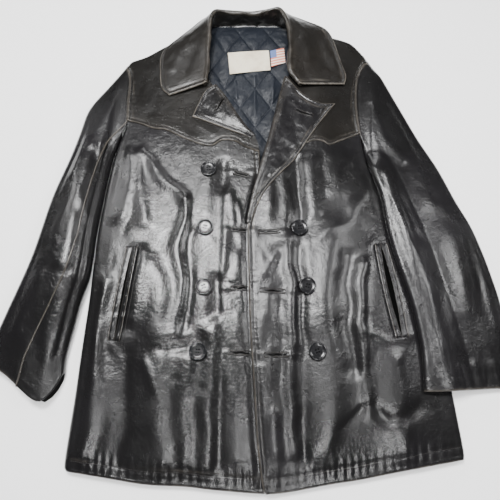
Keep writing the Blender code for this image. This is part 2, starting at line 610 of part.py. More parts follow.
def sleeve(side, outer, inner_line, cuff, armhole, heights, roll, seam_shares, underside):
    """A flattened sleeve of two pieces: the top sleeve and the under sleeve."""
    rows = 16
    above = (6, 3) if seam_shares else (9, 0)
    row_shares = evenly(rows)
    away = armhole_away(armhole)
    joint = armhole + away * ARMHOLE_GAP
    edge_a = on_line((tuple(joint[0]), *outer[1:]), row_shares)
    edge_b = on_line((tuple(joint[-1]), *inner_line[1:]), row_shares)
    middle = (edge_a + edge_b) / 2
    inner_a = edge_a + inward_normals(edge_a, middle) * roll
    inner_b = edge_b + inward_normals(edge_b, middle) * roll
    grids = []
    count = above[0] + above[1] + 1
    start = joint[1:-1]
    steps = np.linalg.norm(np.diff(start, axis=0), axis=1)
    column_shares = np.concatenate([[0.0], np.cumsum(steps)]) / steps.sum()
    end = on_line(cuff, 0.08 + 0.84 * column_shares)
    inner_a[0], inner_b[0] = start[0], start[-1]
    inner_a[-1], inner_b[-1] = end[0], end[-1]
    plan = coons(inner_a, inner_b, start, end, row_shares, column_shares, fade=3)
    shares = np.repeat(column_shares[None, :], rows, axis=0)
    chord = joint[-1] - joint[0]
    set_back = inward_normals(joint[[0, -1]], joint[[0, -1]] + away[0])[0]
    low_start = joint[0] + UNDER_SHARES[:, None] * (chord + UNDER_SET_BACK * set_back)
    low_a, low_b = inner_a.copy(), inner_b.copy()
    low_a[0], low_b[0] = low_start[0], low_start[-1]
    low_shares = evenly(len(low_start))
    low_end = on_line(cuff, 0.08 + 0.84 * low_shares)
    low_plan = coons(low_a, low_b, low_start, low_end, row_shares, low_shares, fade=3)
    low = underside(low_plan)
    lower = np.dstack([low_plan, low])
    if seam_shares:
        plan, shares = moved_columns(plan, row_shares, column_shares, seam_shares, above)
    edge_h = read_table(heights, row_shares, 1)[:, None]
    crown_h = read_table(heights, row_shares, 2)[:, None]
    own = underside(plan) + edge_h + (crown_h - edge_h) * (1 - (2 * shares - 1) ** 2)
    own = own + fold_relief(plan[..., 0], plan[..., 1], SLEEVE_FOLDS) * ease(np.minimum(shares, 1 - shares) * 6)
    join = front_height(plan[0, :, 0], plan[0, :, 1])[None, :]
    blend = ease(row_shares / SLEEVE_START_BLEND)[:, None]
    top = join * (1 - blend) + own * blend
    upper = np.dstack([plan, top])
    ones = np.ones(rows)
    seam_a = low[:, 0] + (0.16 + 0.26 * ease(row_shares * 4)) * (top[:, 0] - low[:, 0])
    wider = SEAM_GAP * (1 + 2 * (1 - ease(row_shares * 8)))
    seam_b = low[:, -1] + 0.42 * (top[:, -1] - low[:, -1])
    up_a = rolled_columns(edge_a, inner_a, seam_a + wider, top[:, 0], ones)
    down_a = rolled_columns(edge_a, low_a, seam_a, low[:, 0], ones)
    up_b = rolled_columns(edge_b, inner_b, seam_b + (0 if seam_shares else SEAM_GAP), top[:, -1], ones)
    down_b = rolled_columns(edge_b, low_b, seam_b, low[:, -1], ones)
    split = above[0] + 1
    turns = len(ROLL_ANGLES)
    rim = [np.array([np.interp(share, column_shares, away[1:-1, k]) for k in range(2)]) for share in shares[0]]
    rim_low = [set_back] * len(low_start) + [away[0]] * turns
    rim_a, rim_b = [away[0]] * turns, [None] * turns
    if seam_shares:
        grids.append(np.concatenate([up_a, upper[:, :split]], axis=1))
        beyond = upper[:, split - 1:].copy()
        across = inward_normals(upper[:, split - 1, :2], upper[:, split, :2])
        beyond[:, 0, :2] += across * SEAM_GAP
        round_b = np.concatenate([up_b[:, ::-1], down_b[:, 1:]], axis=1)
        under = np.concatenate([beyond, round_b, lower[:, ::-1], down_a[:, ::-1]], axis=1)
        kinds = ("level", list(across), list(across), "level")
        rims = (rim_a + rim[:split], rim[split - 1:] + rim_b + rim_b[1:] + rim_low)
        probe = (rows // 2, beyond.shape[1] + round_b.shape[1] + 4, -1)
    else:
        grids.append(np.concatenate([up_a, upper, up_b[:, ::-1]], axis=1))
        under = np.concatenate([down_b, lower[:, ::-1], down_a[:, ::-1]], axis=1)
        kinds = ("level", "level", "level", "level")
        rims = (rim_a + rim + [away[-1]] * turns, rim_b + rim_low)
        probe = (rows // 2, count // 2 + 3, -1)
    add_wall(f"sleeve_{side}_top", grids[0], LEATHER, "leather", (rows // 2, 6, 1), side_a=kinds[0],
             side_b=kinds[1], start=rims[0])
    add_wall(f"sleeve_{side}_under", under, LEATHER, "leather", probe, side_a=kinds[2], side_b=kinds[3],
             start=rims[1])


def moved_columns(plan, row_shares, column_shares, seam_shares, above):
    """Moves the columns of a sleeve so that one of them follows the front seam; also gives their shares."""
    moved = plan.copy()
    shares = np.zeros(plan.shape[:2])
    for r, share in enumerate(row_shares):
        seam = read_table(seam_shares, share, 1)
        shares[r] = np.concatenate([np.linspace(0, seam, above[0] + 1), np.linspace(seam, 1, above[1] + 1)[1:]])
        for k in range(2):
            moved[r, :, k] = np.interp(shares[r], column_shares, plan[r, :, k])
    return moved, shares


def lapel(side, rim, fold, edge, top, cover, rows):
    """A lapel folded back on its front, with the rolled fold along the rim of the neck opening."""
    row_shares = evenly(rows)
    over = np.array((0.0, 0.15, 0.4, 0.7, 1.0))
    fold_y = fold[0] + (fold[1] - fold[0]) * row_shares
    fold_line = np.column_stack([np.interp(fold_y, rim[:, 1], rim[:, 0]), fold_y])
    free_edge = on_line(edge, row_shares)
    start = fold_line[0] + (free_edge[0] - fold_line[0]) * over[:, None]
    end = on_line((tuple(fold_line[-1]), *top[1:]), over)
    plan = coons(fold_line, free_edge, start, end, row_shares, over)
    into_neck = -inward_normals(fold_line, free_edge)
    radius = LEATHER + FOLD_INSIDE_FOOT + (FOLD_INSIDE_TOP - FOLD_INSIDE_FOOT) * ease(row_shares * 2.5)
    grid = np.zeros((rows, 4 + len(over), 3))
    for r in range(rows):
        inside = fold_line[r] - into_neck[r] * 1.5
        rim = cover.height(*inside, reach=1.0)
        centre_z = rim - LEATHER + radius[r]
        for k, angle in enumerate(np.radians((-90.0, -45.0, 0.0, 45.0))):
            reach = radius[r] * math.cos(angle) + FOLD_GAP
            grid[r, k, :2] = fold_line[r] + into_neck[r] * reach
            grid[r, k, 2] = centre_z + radius[r] * math.sin(angle)
        for k, share in enumerate(over):
            lift = (2 * radius[r] - LEATHER) * (1 - ease(share * 1.15)) + (LEATHER + LAPEL_EDGE_LIFT) * ease(share)
            x, y = plan[r, k]
            ground = cover.height(x, y)
            grid[r, 4 + k, :2] = plan[r, k]
            grid[r, 4 + k, 2] = max(ground + lift, ground + LEATHER + REST_GAP)
        grid[r, 4, 2] = max(grid[r, 4, 2], centre_z + radius[r])
    add_wall(f"lapel_{side}", grid, LEATHER, "leather", (rows // 2, 7, 1))


def collar(cover):
    """The collar: its stand up from the neck seam, its roll and its fall."""
    dense = smooth_line(COLLAR, per_span=2)
    rows = len(dense)
    columns = len(STAND_STEPS) + len(ROLL_STEPS) + len(FALL_STEPS)
    grid = np.zeros((rows, columns, 3))
    for r, row in enumerate(dense):
        neck, roll, edge = row[:3].copy(), row[3:6], row[6:].copy()
        outward = unit(np.array([edge[0] - neck[0], edge[1] - neck[1], 0.0]))
        centre = roll - np.array([0.0, 0.0, COLLAR_ROLL_RADIUS])
        beyond = neck + COLLAR_FOOT_REACH * outward
        on_neck = max(cover.height(neck[0], neck[1], reach=3.0), cover.height(beyond[0], beyond[1], reach=5.0))
        neck[2] = max(neck[2], on_neck + REST_GAP)
        centre[2] = max(centre[2], neck[2] + 1.5)
        points = [centre + COLLAR_ROLL_RADIUS * (-outward * math.cos(a) + np.array([0, 0, math.sin(a)]))
                  for a in np.radians(ROLL_STEPS)]
        line = [neck + (points[0] - neck) * share for share in STAND_STEPS] + points
        last = points[-1]
        for share in FALL_STEPS:
            place = last + (edge - last) * share
            place[2] = last[2] + (edge[2] - last[2]) * share ** 0.8
            need = cover.height(place[0], place[1]) + COLLAR_THICK + REST_GAP
            place[2] = max(place[2], need)
            line.append(place)
        grid[r] = line
    add_wall("collar", grid, COLLAR_THICK, "collar_leather", (3, columns - 2, 1))


def inside_outline(x, y, outline):
    """Whether a plan point lies inside a closed outline."""
    inside = False
    for i, (x0, y0) in enumerate(outline):
        x1, y1 = outline[i - 1]
        if (y0 > y) != (y1 > y) and x < (x1 - x0) * (y - y0) / (y1 - y0) + x0:
            inside = not inside
    return inside


def quilt_rise(x, y):
    """How far the quilting stands up at a plan point: 0 on its stitch lines, 1 mid-diamond."""
    a = (x - DIAMOND_CENTRE[0]) / DIAMOND_WIDTH
    b = (y - DIAMOND_CENTRE[1]) / DIAMOND_HEIGHT
    return abs(math.cos(math.pi * (a + b)) * math.cos(math.pi * (a - b))) ** 0.7


def lining():
    """The quilted lining where the neck opening shows it, in cells whose diagonals are the stitch lines."""
    step_x = DIAMOND_WIDTH / CELLS_PER_DIAMOND
    step_y = DIAMOND_HEIGHT / CELLS_PER_DIAMOND
    cells = []
    for i in range(-9, 9):
        for j in range(-10, 10):
            x = DIAMOND_CENTRE[0] + (i + 0.5) * step_x
            y = DIAMOND_CENTRE[1] + (j + 0.5) * step_y
            top = DIAMOND_CENTRE[1] + (j + 1) * step_y
            if inside_outline(x, y, LINING_SHOWS) and top < LINING_TOP:
                cells.append((i, j))
    kept = set(cells)
    index = {}
    points = []

    def corner(i, j, layer):
        key = (i, j, layer)
        if key not in index:
            x = DIAMOND_CENTRE[0] + i * step_x
            y = DIAMOND_CENTRE[1] + j * step_y
            z = LINING_Z
            if layer:
                z += LINING_THICK + QUILT_RISE * quilt_rise(x, y)
            index[key] = len(points)
            points.append((x, y, z))
        return index[key]

    faces = []
    for i, j in cells:
        a, b, c, d = (i, j), (i + 1, j), (i + 1, j + 1), (i, j + 1)
        if (i + j) % 2:
            halves = ((a, b, c), (a, c, d))
        else:
            halves = ((a, b, d), (b, c, d))
        for half in halves:
            faces.append([corner(*p, 1) for p in half])
            faces.append([corner(*p, 0) for p in reversed(half)])
        sides = ((a, b, (i, j - 1)), (b, c, (i + 1, j)), (c, d, (i, j + 1)), (d, a, (i - 1, j)))
        for p, q, beyond in sides:
            if beyond not in kept:
                faces.append([corner(*p, 0), corner(*q, 0), corner(*q, 1), corner(*p, 1)])
    add_piece("lining", np.array(points), faces, "lining")


def sewn_label(name, corners, finish):
    """A label lying on the quilting."""
    a, b, c, d = (np.array(p, dtype=float) for p in corners)
    across, down = evenly(5), evenly(4)
    grid = np.zeros((len(down), len(across), 3))
    base = LINING_Z + LINING_THICK + QUILT_RISE + SEAM_GAP + LABEL_THICK
    for r, v in enumerate(down):
        for c_index, u in enumerate(across):
            plan = (1 - v) * ((1 - u) * a + u * b) + v * ((1 - u) * d + u * c)
            grid[r, c_index] = (*plan, base + 0.8 * math.sin(math.pi * u))
    add_wall(name, grid, LABEL_THICK, finish, (1, 2, 1))


def button(name, x, y, cover):
    """A turned button with a raised rim, lying on its front."""
    heights = [cover.height(x, y, reach) for reach in (4.0, 9.0, BUTTON_RADIUS - 2.0)]
    base = max(heights) + SEAM_GAP
    points = [(x, y, base + BUTTON_PROFILE[0][1])]
    for radius, z in BUTTON_PROFILE[1:-1]:
        for k in range(BUTTON_SIDES):
            angle = 2 * math.pi * k / BUTTON_SIDES
            points.append((x + radius * math.cos(angle), y + radius * math.sin(angle), base + z))
    points.append((x, y, base + BUTTON_PROFILE[-1][1]))
    faces = []
    rings = len(BUTTON_PROFILE) - 2
    for k in range(BUTTON_SIDES):
        after = (k + 1) % BUTTON_SIDES
        faces.append([0, 1 + after, 1 + k])
        for ring in range(rings - 1):
            low, high = 1 + ring * BUTTON_SIDES, 1 + (ring + 1) * BUTTON_SIDES
            faces.append([low + k, low + after, high + after, high + k])
        high = 1 + (rings - 1) * BUTTON_SIDES
        faces.append([high + k, high + after, len(points) - 1])
    add_piece(name, np.array(points), faces, "button")


def pocket_lips(side, pocket, cover):
    """The two lips of a slanted pocket opening, sewn on the front."""
    (x0, y0), (x1, y1), width, gape = pocket
    top, bottom = np.array([x0, y0], dtype=float), np.array([x1, y1], dtype=float)
    across = unit(np.array([y0 - y1, x1 - x0], dtype=float))
    if across[0] < 0:
        across = -across
    for label, sign in (("inner", -1.0), ("outer", 1.0)):
        sign = sign if side == "l" else -sign
        grid = np.zeros((9, 3, 3))
        for r, v in enumerate(evenly(9)):
            slit = top + (bottom - top) * v
            opening = SEAM_GAP + 0.5 * gape * math.sin(math.pi * v)
            for c, u in enumerate((0.0, 0.5, 1.0)):
                plan = slit + across * sign * (opening + width * u * (1 - 0.25 * gape / width * math.sin(math.pi * v)))
                lift = LIP_THICK + REST_GAP + 0.5 * math.sin(math.pi * u)
                grid[r, c] = (*plan, cover.height(*plan) + lift)
        add_wall(f"pocket_{side}_{label}_lip", grid, LIP_THICK, "leather", (4, 1, 1))


def main():
    """Builds every piece of the coat."""
    clear_scene()
    cover = Cover()
    armhole_r = armhole_points(ARMHOLE_R, 2)
    armhole_l = armhole_points(ARMHOLE_L, 1)
    back_panel(armhole_r, armhole_l)
    front_side_r = SIDE_R + ARMHOLE_R[1:3]
    front_side_l = SIDE_L + ARMHOLE_L[1:2]
    edge_r = front_panel("front_r", front_side_r, HEM_R, FRONT_EDGE_R, YOKE_SEAM_R, ROLL_R, front_height, 19, cover)
    edge_l = front_panel("front_l", front_side_l, HEM_L, FRONT_EDGE_L, YOKE_SEAM_L, ROLL_L, left_front_height, 19,
                         cover)
    neck_r = yoke_panel("yoke_r", SHOULDER_R, YOKE_SEAM_R, armhole_r, NECK_R, front_height, cover)
    neck_l = yoke_panel("yoke_l", SHOULDER_L, YOKE_SEAM_L, armhole_l, NECK_L, left_front_height, cover)
    samples = body_side_samples()
    sleeve("r", SLEEVE_OUT_R, SLEEVE_IN_R, CUFF_R, armhole_r, SLEEVE_HEIGHTS_R, SLEEVE_ROLL_R, SEAM_SHARE_R,
           lambda plan: np.zeros(plan.shape[:2]))
    sleeve("l", SLEEVE_OUT_L, SLEEVE_IN_L, CUFF_L, armhole_l, SLEEVE_HEIGHTS_L, SLEEVE_ROLL_L, None,
           lambda plan: lies_on(plan, samples))
    lapel("r", np.vstack([edge_r, neck_r]), LAPEL_FOLD_R, LAPEL_EDGE_R, LAPEL_TOP_R, cover, 10)
    lapel("l", np.vstack([edge_l, neck_l]), LAPEL_FOLD_L, LAPEL_EDGE_L, LAPEL_TOP_L, cover, 14)
    collar(cover)
    lining()
    sewn_label("label", LABEL, "label")
    sewn_label("flag_tag", FLAG_TAG, "tag")
    for k, (x, y) in enumerate(BUTTONS_R):
        button(f"button_r{k + 1}", x, y, cover)
    for k, (x, y) in enumerate(BUTTONS_L):
        button(f"button_l{k + 1}", x, y, cover)
    pocket_lips("r", POCKET_R, cover)
    pocket_lips("l", POCKET_L, cover)


main()
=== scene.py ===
"""A hip-length double-breasted leather coat laid flat: its looks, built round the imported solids.

Tables and sizes are in millimetres, in the solids' own frame: +Z is up, +Y runs from the hem towards
the collar and +X is the wearer's left. Meshes are written in metres.
"""
import logging
import math
from dataclasses import dataclass
from enum import Enum
from typing import Callable, Sequence

import bpy
import numpy as np
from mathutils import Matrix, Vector
from mathutils.bvhtree import BVHTree


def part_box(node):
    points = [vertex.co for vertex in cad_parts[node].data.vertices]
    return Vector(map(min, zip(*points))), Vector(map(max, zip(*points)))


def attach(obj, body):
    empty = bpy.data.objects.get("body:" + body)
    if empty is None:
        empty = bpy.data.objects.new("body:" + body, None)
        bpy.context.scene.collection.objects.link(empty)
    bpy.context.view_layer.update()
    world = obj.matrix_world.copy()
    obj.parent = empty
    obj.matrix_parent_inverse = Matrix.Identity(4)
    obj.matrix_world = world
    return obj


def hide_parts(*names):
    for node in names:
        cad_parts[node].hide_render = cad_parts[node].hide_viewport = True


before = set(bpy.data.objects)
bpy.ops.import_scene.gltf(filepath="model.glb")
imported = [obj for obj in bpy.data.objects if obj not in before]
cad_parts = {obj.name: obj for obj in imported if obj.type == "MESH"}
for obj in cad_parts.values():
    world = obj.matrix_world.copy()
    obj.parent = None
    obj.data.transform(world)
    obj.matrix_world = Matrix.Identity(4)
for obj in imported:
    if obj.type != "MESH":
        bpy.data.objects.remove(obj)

LOG = logging.getLogger("coat")
MM = 0.001
BODY = "root"
Array = np.ndarray
Points = Sequence[tuple[float, ...]]
Height = Callable[[Array, Array], Array]
Material = bpy.types.Material
Socket = bpy.types.NodeSocket

# Thicknesses and gaps
LEATHER = 1.8
COLLAR_THICK = 2.6
LABEL_THICK = 1.0
SEAM_GAP = 0.3
ARMHOLE_GAP = 0.5
FOLD_GAP = 1.2
REST_GAP = 0.6
# How far apart the points of a panel's grid are
STEP = 3.2
# Distances from an edge at which a panel has extra points
NEAR_EDGE = (0.0, 0.5, 1.1, 1.9, 2.9, 4.2, 5.8, 7.8)
# Radius of the rounding along a turned edge
EDGE_ROUND = 2.2

BODY_SEAM_Z = 7.5
ROLL_R = 12.0
ROLL_L = 7.0
BACK_ROLL = 8.0
SHOULDER_ROLL = 10.0
SLEEVE_ROLL_R = 13.0
SLEEVE_ROLL_L = 10.0
ROLL_ANGLES = (0.0, 12.0, 24.0, 36.0, 48.0, 60.0, 72.0)
ARMHOLE_TIP = 0.10
BODY_CENTRE = (0.0, 400.0)

# Body outline in plan, x and y, from the hem up
SIDE_R = ((-277, -419), (-280, -408), (-278, -360), (-275, -302), (-273, -239), (-270, -170), (-269, -125),
          (-268, -83), (-267, -38), (-262, 26), (-257, 75), (-251, 116), (-242, 153))
SIDE_L = ((324, -403), (325, -388), (322, -344), (319, -306), (311, -240), (304, -200), (295, -150),
          (284, -101), (268, -41), (247, 22), (231, 60), (219, 90), (213, 120), (208, 148))
ARMHOLE_R = ((-242, 153), (-235, 170), (-232, 187), (-233, 233), (-233, 279), (-240, 305), (-246, 318))
ARMHOLE_L = ((208, 148), (206, 160), (203, 205), (203, 240), (206, 271), (211, 291), (222, 314), (240, 328))
SHOULDER_R = ((-246, 318), (-237, 328), (-208, 340), (-180, 359), (-135, 386), (-78, 418))
SHOULDER_L = ((240, 328), (225, 349), (208, 370), (190, 380), (150, 393), (78, 417))
BACK_NECK = ((-78, 418), (0, 428), (78, 417))
HEM_R = ((-277, -419), (-215, -428), (-155, -437), (-96, -440), (-48, -445), (22, -450))
HEM_L = ((324, -403), (239, -417), (167, -430), (119, -437), (59, -447), (23, -450))
FRONT_EDGE_R = ((22, -450), (21, -300), (20, -100), (19, 10), (18, 60), (18, 100), (17, 118))
FRONT_EDGE_L = ((23, -450), (18, -437), (11, -383), (7, -317), (4, -269), (0, -203), (-2, -132), (-4, -58),
                (-3, -22), (3, 8), (10, 40), (24, 90), (34, 125))
YOKE_SEAM_R = ((-232, 187), (-208, 180), (-179, 168), (-158, 165), (-126, 149), (-94, 135), (-70, 131),
               (-52, 142), (-27, 140), (-8, 128), (17, 118))
YOKE_SEAM_L = ((206, 160), (192, 154), (166, 142), (147, 133), (135, 140), (120, 142), (104, 137), (70, 130),
               (34, 125))
NECK_R = ((-78, 418), (-85, 395), (-87, 370), (-87, 345), (-86, 310), (-82, 285), (-70, 262), (-48, 230),
          (-28, 194), (-9, 168), (7, 153), (14, 138), (17, 118))
NECK_L = ((78, 417), (84, 395), (86, 370), (84, 345), (83, 320), (80, 300), (72, 280), (60, 233), (43, 160),
          (34, 125))

# How high the fronts lie above the floor: y, height at the middle, at the right and at the left side
BODY_HEIGHTS = (
    (-452, 13, 13, 13), (-400, 17, 16, 14), (-300, 20, 19, 14), (-150, 22, 20, 14), (0, 23, 20, 14.5),
    (150, 24, 21, 18), (300, 23, 21, 20), (430, 20, 19, 19),
)
SIDE_BLEND = 80.0
OVERLAP_X = 30.0
OVERLAP_BLEND = 30.0

# Soft ridges (height above 0) and troughs (below 0): x and y of the start and the end, half width, height
BODY_FOLDS = (
    # Radiating from the right armhole
    (-217, 128, -213, 50, 9, 4), (-213, 50, -224, -20, 11, 3.5), (-205, 118, -193, 48, 8, 3.5),
    (-193, 48, -180, -30, 10, 3), (-200, 126, -165, 75, 8, 4), (-165, 75, -112, 22, 9, 3.5),
    # Right front, long hanging folds
    (-243, -110, -247, -410, 13, 5), (-176, -70, -190, -200, 12, 4), (-165, -90, -143, -240, 18, 5),
    (-143, -240, -139, -425, 17, 4.5), (-112, 30, -115, -90, 8, 4), (-115, -90, -123, -230, 8, 4),
    (-98, -30, -104, -210, 10, -3), (-104, -250, -100, -420, 11, 3.5), (-60, -205, -66, -425, 11, 4),
    (-44, 40, -48, -120, 11, 3.5), (-150, -246, -104, -242, 5, -2), (-196, -240, -192, -415, 12, -3),
    # Left front, from the lapel's foot and the buttonholes
    (60, 85, 57, -60, 10, 3.5), (87, 110, 84, -30, 9, -4.5), (110, 110, 116, -10, 13, 4),
    (176, 120, 160, 20, 16, 4), (72, -40, 68, -190, 8, 4.5), (68, -190, 71, -400, 8, 4.5),
    (86, -60, 84, -410, 9, -3), (144, -20, 130, -210, 20, 5), (130, -210, 118, -400, 17, 4),
    (168, -70, 161, -280, 11, -4), (190, -90, 179, -270, 9, 5), (179, -270, 194, -345, 9, 4),
    (136, -361, 185, -327, 7, -2.5), (190, -329, 221, -353, 7, -2.5), (224, -353, 268, -318, 8, -2.5),
    (226, -240, 236, -400, 13, 4), (34, -150, 40, -400, 9, 2.5),
)
# How much wider than its table says a fold is on one side, and on the other
LONG_FLANK = 1.65
SHORT_FLANK = 1.0
# Small creases that only the visible cloth has, in the same columns
BODY_CREASES = (
    # Short pulls from the right armhole
    (-226, 150, -214, 100, 3.5, 1.5), (-222, 140, -198, 104, 3.5, -1.3), (-214, 150, -176, 120, 4, 1.4),
    (-228, 108, -230, 44, 4.5, 1.5), (-233, 60, -240, -10, 5, 1.4), (-240, 118, -244, 40, 4, -1.2),
    (-188, 104, -160, 40, 5, -1.4), (-150, 120, -128, 70, 6, 1.2), (-206, 20, -214, -46, 5, -1.4),
    # Pulls from the left armhole
    (196, 140, 190, 90, 4, 1.5), (186, 132, 170, 84, 4.5, -1.3), (200, 120, 205, 50, 4.5, 1.4),
    (214, 70, 222, 0, 5, 1.3), (150, 118, 140, 60, 6, 1.3), (128, 122, 128, 66, 5, -1.2),
    # From the lapel's foot and along the front edge
    (14, -40, 22, -96, 4, 1.3), (20, -60, 44, -100, 4, -1.2), (40, 60, 36, 4, 4.5, 1.4),
    (56, 40, 66, -20, 4.5, -1.2), (12, -150, 18, -228, 4, 1.2), (14, -262, 20, -350, 4, 1.1),
    # Round the pockets
    (-196, -60, -176, -78, 4.5, 1.5), (-222, -232, -200, -262, 4.5, 1.5), (-232, -70, -240, -120, 5, -1.4),
    (216, -54, 196, -76, 4.5, 1.4), (250, -226, 236, -262, 4.5, 1.4), (212, -120, 206, -200, 6, -1.6),
    # Between the buttons
    (-75, 66, -72, 0, 5, 1.2), (-92, 70, -98, 20, 4.5, -1.1), (-64, -46, -60, -118, 5, 1.2),
    (-94, -44, -98, -110, 4.5, 1.2), (-66, -152, -62, -228, 5, -1.2), (-92, -152, -100, -226, 4.5, 1.2),
    (100, -46, 104, -118, 5, 1.2), (84, -46, 80, -116, 4, 1), (110, -152, 116, -228, 5, -1.2),
    # Cross creases low on the right front
    (-150, -292, -112, -286, 4.5, -1.2), (-224, -176, -190, -170, 4.5, -1.1),
    (-84, -300, -40, -306, 4.5, -1), (170, -180, 204, -186, 4.5, -1.1), (96, -300, 140, -306, 4.5, -1),
    (40, -220, 60, -216, 4, -0.9),
    # Yokes
    (-214, 210, -196, 290, 7, 1.8), (-190, 196, -176, 250, 6, -1.5), (-150, 190, -150, 240, 8, 1.6),
    (-110, 160, -124, 226, 7, -1.4), (-60, 150, -96, 178, 5, 1.3), (186, 176, 182, 250, 7, 1.7),
    (160, 164, 166, 214, 6, -1.4), (-200, 300, -150, 350, 8, 1.6), (186, 290, 160, 352, 8, 1.6),
)
# Creases that show clearly, also only in the visible cloth
BODY_LINES = (
    # Hollow between the right buttons and the front edge
    (-48, 100, -52, -60, 9, -5.5), (-52, -60, -54, -190, 8, -4), (-50, -230, -48, -420, 8, -3),
    # Hanging from one buttonhole to the next, right front
    (-31, 36, -26, -26, 4.5, 2), (-21, 20, -10, -26, 4, 1.7), (-30, -42, -6, -86, 7, -1.6),
    (-27, -132, -18, -74, 7, 1.7), (-31, -146, -6, -192, 7, -1.6), (-27, -238, -16, -180, 7, 1.7),
    (-31, -252, -4, -300, 7, -1.6), (-24, -300, -20, -410, 8, 1.6),
    # The same, left front
    (22, -118, 50, -72, 5.5, 1.9), (30, -126, 60, -78, 6, -1.5), (14, -52, 16, -100, 5.5, -1.3),
    (52, -160, 26, -236, 7, -1.9), (22, -186, 20, -238, 6, 1.6), (56, -256, 30, -330, 7, -1.7),
    (20, -262, 24, -330, 6.5, 1.6), (34, 60, 30, -20, 8, 1.8), (44, -330, 40, -420, 9, 1.6),
    # Across the left front, from the side seam to the second button
    (230, 64, 187, 9, 7, 2.2), (187, 9, 173, -25, 6, 2.2), (173, -25, 134, -34, 6, 2.4),
    (134, -34, 112, -60, 7, 2),
    # Under the left pocket, and low on the right front
    (186, -206, 224, -228, 5, 2), (224, -228, 268, -212, 5, 2), (-228, -120, -254, -190, 7, 2.4),
    (-254, -190, -232, -292, 7, 2), (-168, -256, -144, -304, 6, 2), (-150, -238, -106, -234, 4.5, 1.3),
    # Soft swells
    (-238, -48, -232, -104, 15, 2), (-154, -150, -150, -230, 16, 1.8), (128, -60, 126, -250, 17, 1.8),
    (30, -330, 60, -430, 16, 1.6), (-200, -330, -206, -430, 16, 1.6), (240, -300, 250, -400, 18, 1.6),
)
# Pulls where the edge is sewn through beside each buttonhole: x, y, half length
PULLS = ((-17, 78, 17), (-18, -35, 17), (-17, -139, 18), (-17, -245, 19), (33, -39, 24), (37, -144, 24),
         (42, -249, 23))

# Right sleeve, outlines from the armhole to the cuff
SLEEVE_OUT_R = ((-246, 318), (-259, 297), (-279, 264), (-302, 227), (-313, 199), (-321, 155), (-333, 102),
                (-354, 26), (-374, -80), (-404, -181), (-427, -256))
SLEEVE_IN_R = ((-242, 153), (-252.2, 117), (-258.2, 75), (-263.2, 26), (-268.2, -38), (-269.6, -83),
               (-272, -120), (-278, -146), (-283, -170), (-288, -203), (-293, -232), (-296, -255),
               (-296, -276))
CUFF_R = ((-427, -256), (-383, -281), (-355, -303), (-337, -316), (-322, -319), (-305, -300), (-296, -276))
# Where the right sleeve's front seam runs, as a share of the way from the outer edge to the inner one
SEAM_SHARE_R = ((0, 0.94), (0.1, 0.86), (0.3, 0.78), (0.5, 0.80), (0.7, 0.66), (0.85, 0.52), (1, 0.42))
SLEEVE_OUT_L = ((240, 328), (248, 312), (262, 289), (287, 227), (317, 153), (347, 90), (371, 25), (391, -23),
                (405, -75), (414, -120), (420, -158), (424, -208), (426, -256), (424, -299))
SLEEVE_IN_L = ((208, 148), (211.5, 120), (216.5, 90), (223, 60), (232, 22), (238, -41), (249, -101),
               (261, -150), (269, -200), (273, -240), (272, -275), (270, -305))
CUFF_L = ((424, -299), (381, -300), (297, -305), (270, -305))
# Share of the sleeve's length, height at its edges and at its crown
SLEEVE_HEIGHTS_R = ((0, 20, 24), (0.15, 24, 32), (0.4, 29, 42), (0.65, 29, 42), (0.85, 24, 34), (1, 19, 27))
SLEEVE_HEIGHTS_L = ((0, 18, 23), (0.15, 16, 25), (0.4, 14, 25), (0.7, 14, 24), (1, 11, 18))
SLEEVE_START_BLEND = 0.10
UNDER_SET_BACK = 3.0
UNDER_SHARES = (0.13, 0.86)
LIES_ON_BELOW_Y = 80.0
LIE_CLEARANCE = 1.3
LIE_FLAT = 5.0
LIE_SLOPE = 0.45
SLEEVE_FOLDS = (
    # Right sleeve, the folds that the solids have
    (-300, 150, -318, 60, 10, 4), (-282, 120, -287, 20, 8, -3), (-330, 30, -352, -80, 12, -3),
    (-300, -10, -312, -110, 10, 4), (-345, -120, -372, -220, 12, 4), (-325, -160, -345, -290, 10, -3),
    # Left sleeve, the same
    (262, 230, 300, 110, 12, 4), (300, 110, 322, 10, 12, 3), (262, 60, 290, -60, 10, -3),
    (345, -30, 352, -200, 18, 4), (310, -90, 318, -230, 12, -3), (385, -60, 398, -190, 10, -2.5),
    (292, -150, 300, -270, 8, 2.5),
)
SLEEVE_CREASES = (
    # Right sleeve
    (-262, 270, -276, 200, 6, 2), (-276, 240, -296, 176, 6, -1.8), (-258, 200, -268, 130, 5, 2),
    (-304, 196, -312, 120, 6, 1.8), (-270, 170, -280, 90, 4.5, -1.6), (-322, 110, -338, 30, 6, 2),
    (-290, 80, -300, 10, 5, 1.8), (-312, 20, -330, -10, 5, -1.6), (-282, -30, -300, -56, 4, -1.4),
    (-340, -50, -318, -72, 4.5, 1.5), (-360, -90, -380, -170, 7, 1.8), (-296, -120, -306, -220, 6, 1.8),
    (-318, -200, -326, -290, 6, 1.6), (-390, -190, -404, -250, 6, -1.5), (-352, -230, -376, -270, 6, 1.5),
    # Left sleeve
    (232, 290, 252, 220, 7, 2), (222, 240, 246, 150, 6, -1.8), (226, 180, 244, 100, 5, 1.8),
    (280, 220, 306, 150, 6, -1.6), (244, 120, 262, 40, 5, 1.8), (330, 100, 352, 30, 7, 1.8),
    (300, 50, 322, 34, 4.5, -1.4), (340, 20, 372, -16, 5, 1.5), (268, -10, 282, -100, 5, 1.6),
    (322, -60, 330, -150, 6, 1.6), (372, -40, 384, -140, 6, 1.8), (404, -120, 410, -230, 5, 1.5),
    (284, -140, 290, -230, 5, -1.4), (340, -210, 346, -290, 6, 1.5), (374, -210, 378, -290, 6, -1.4),
)

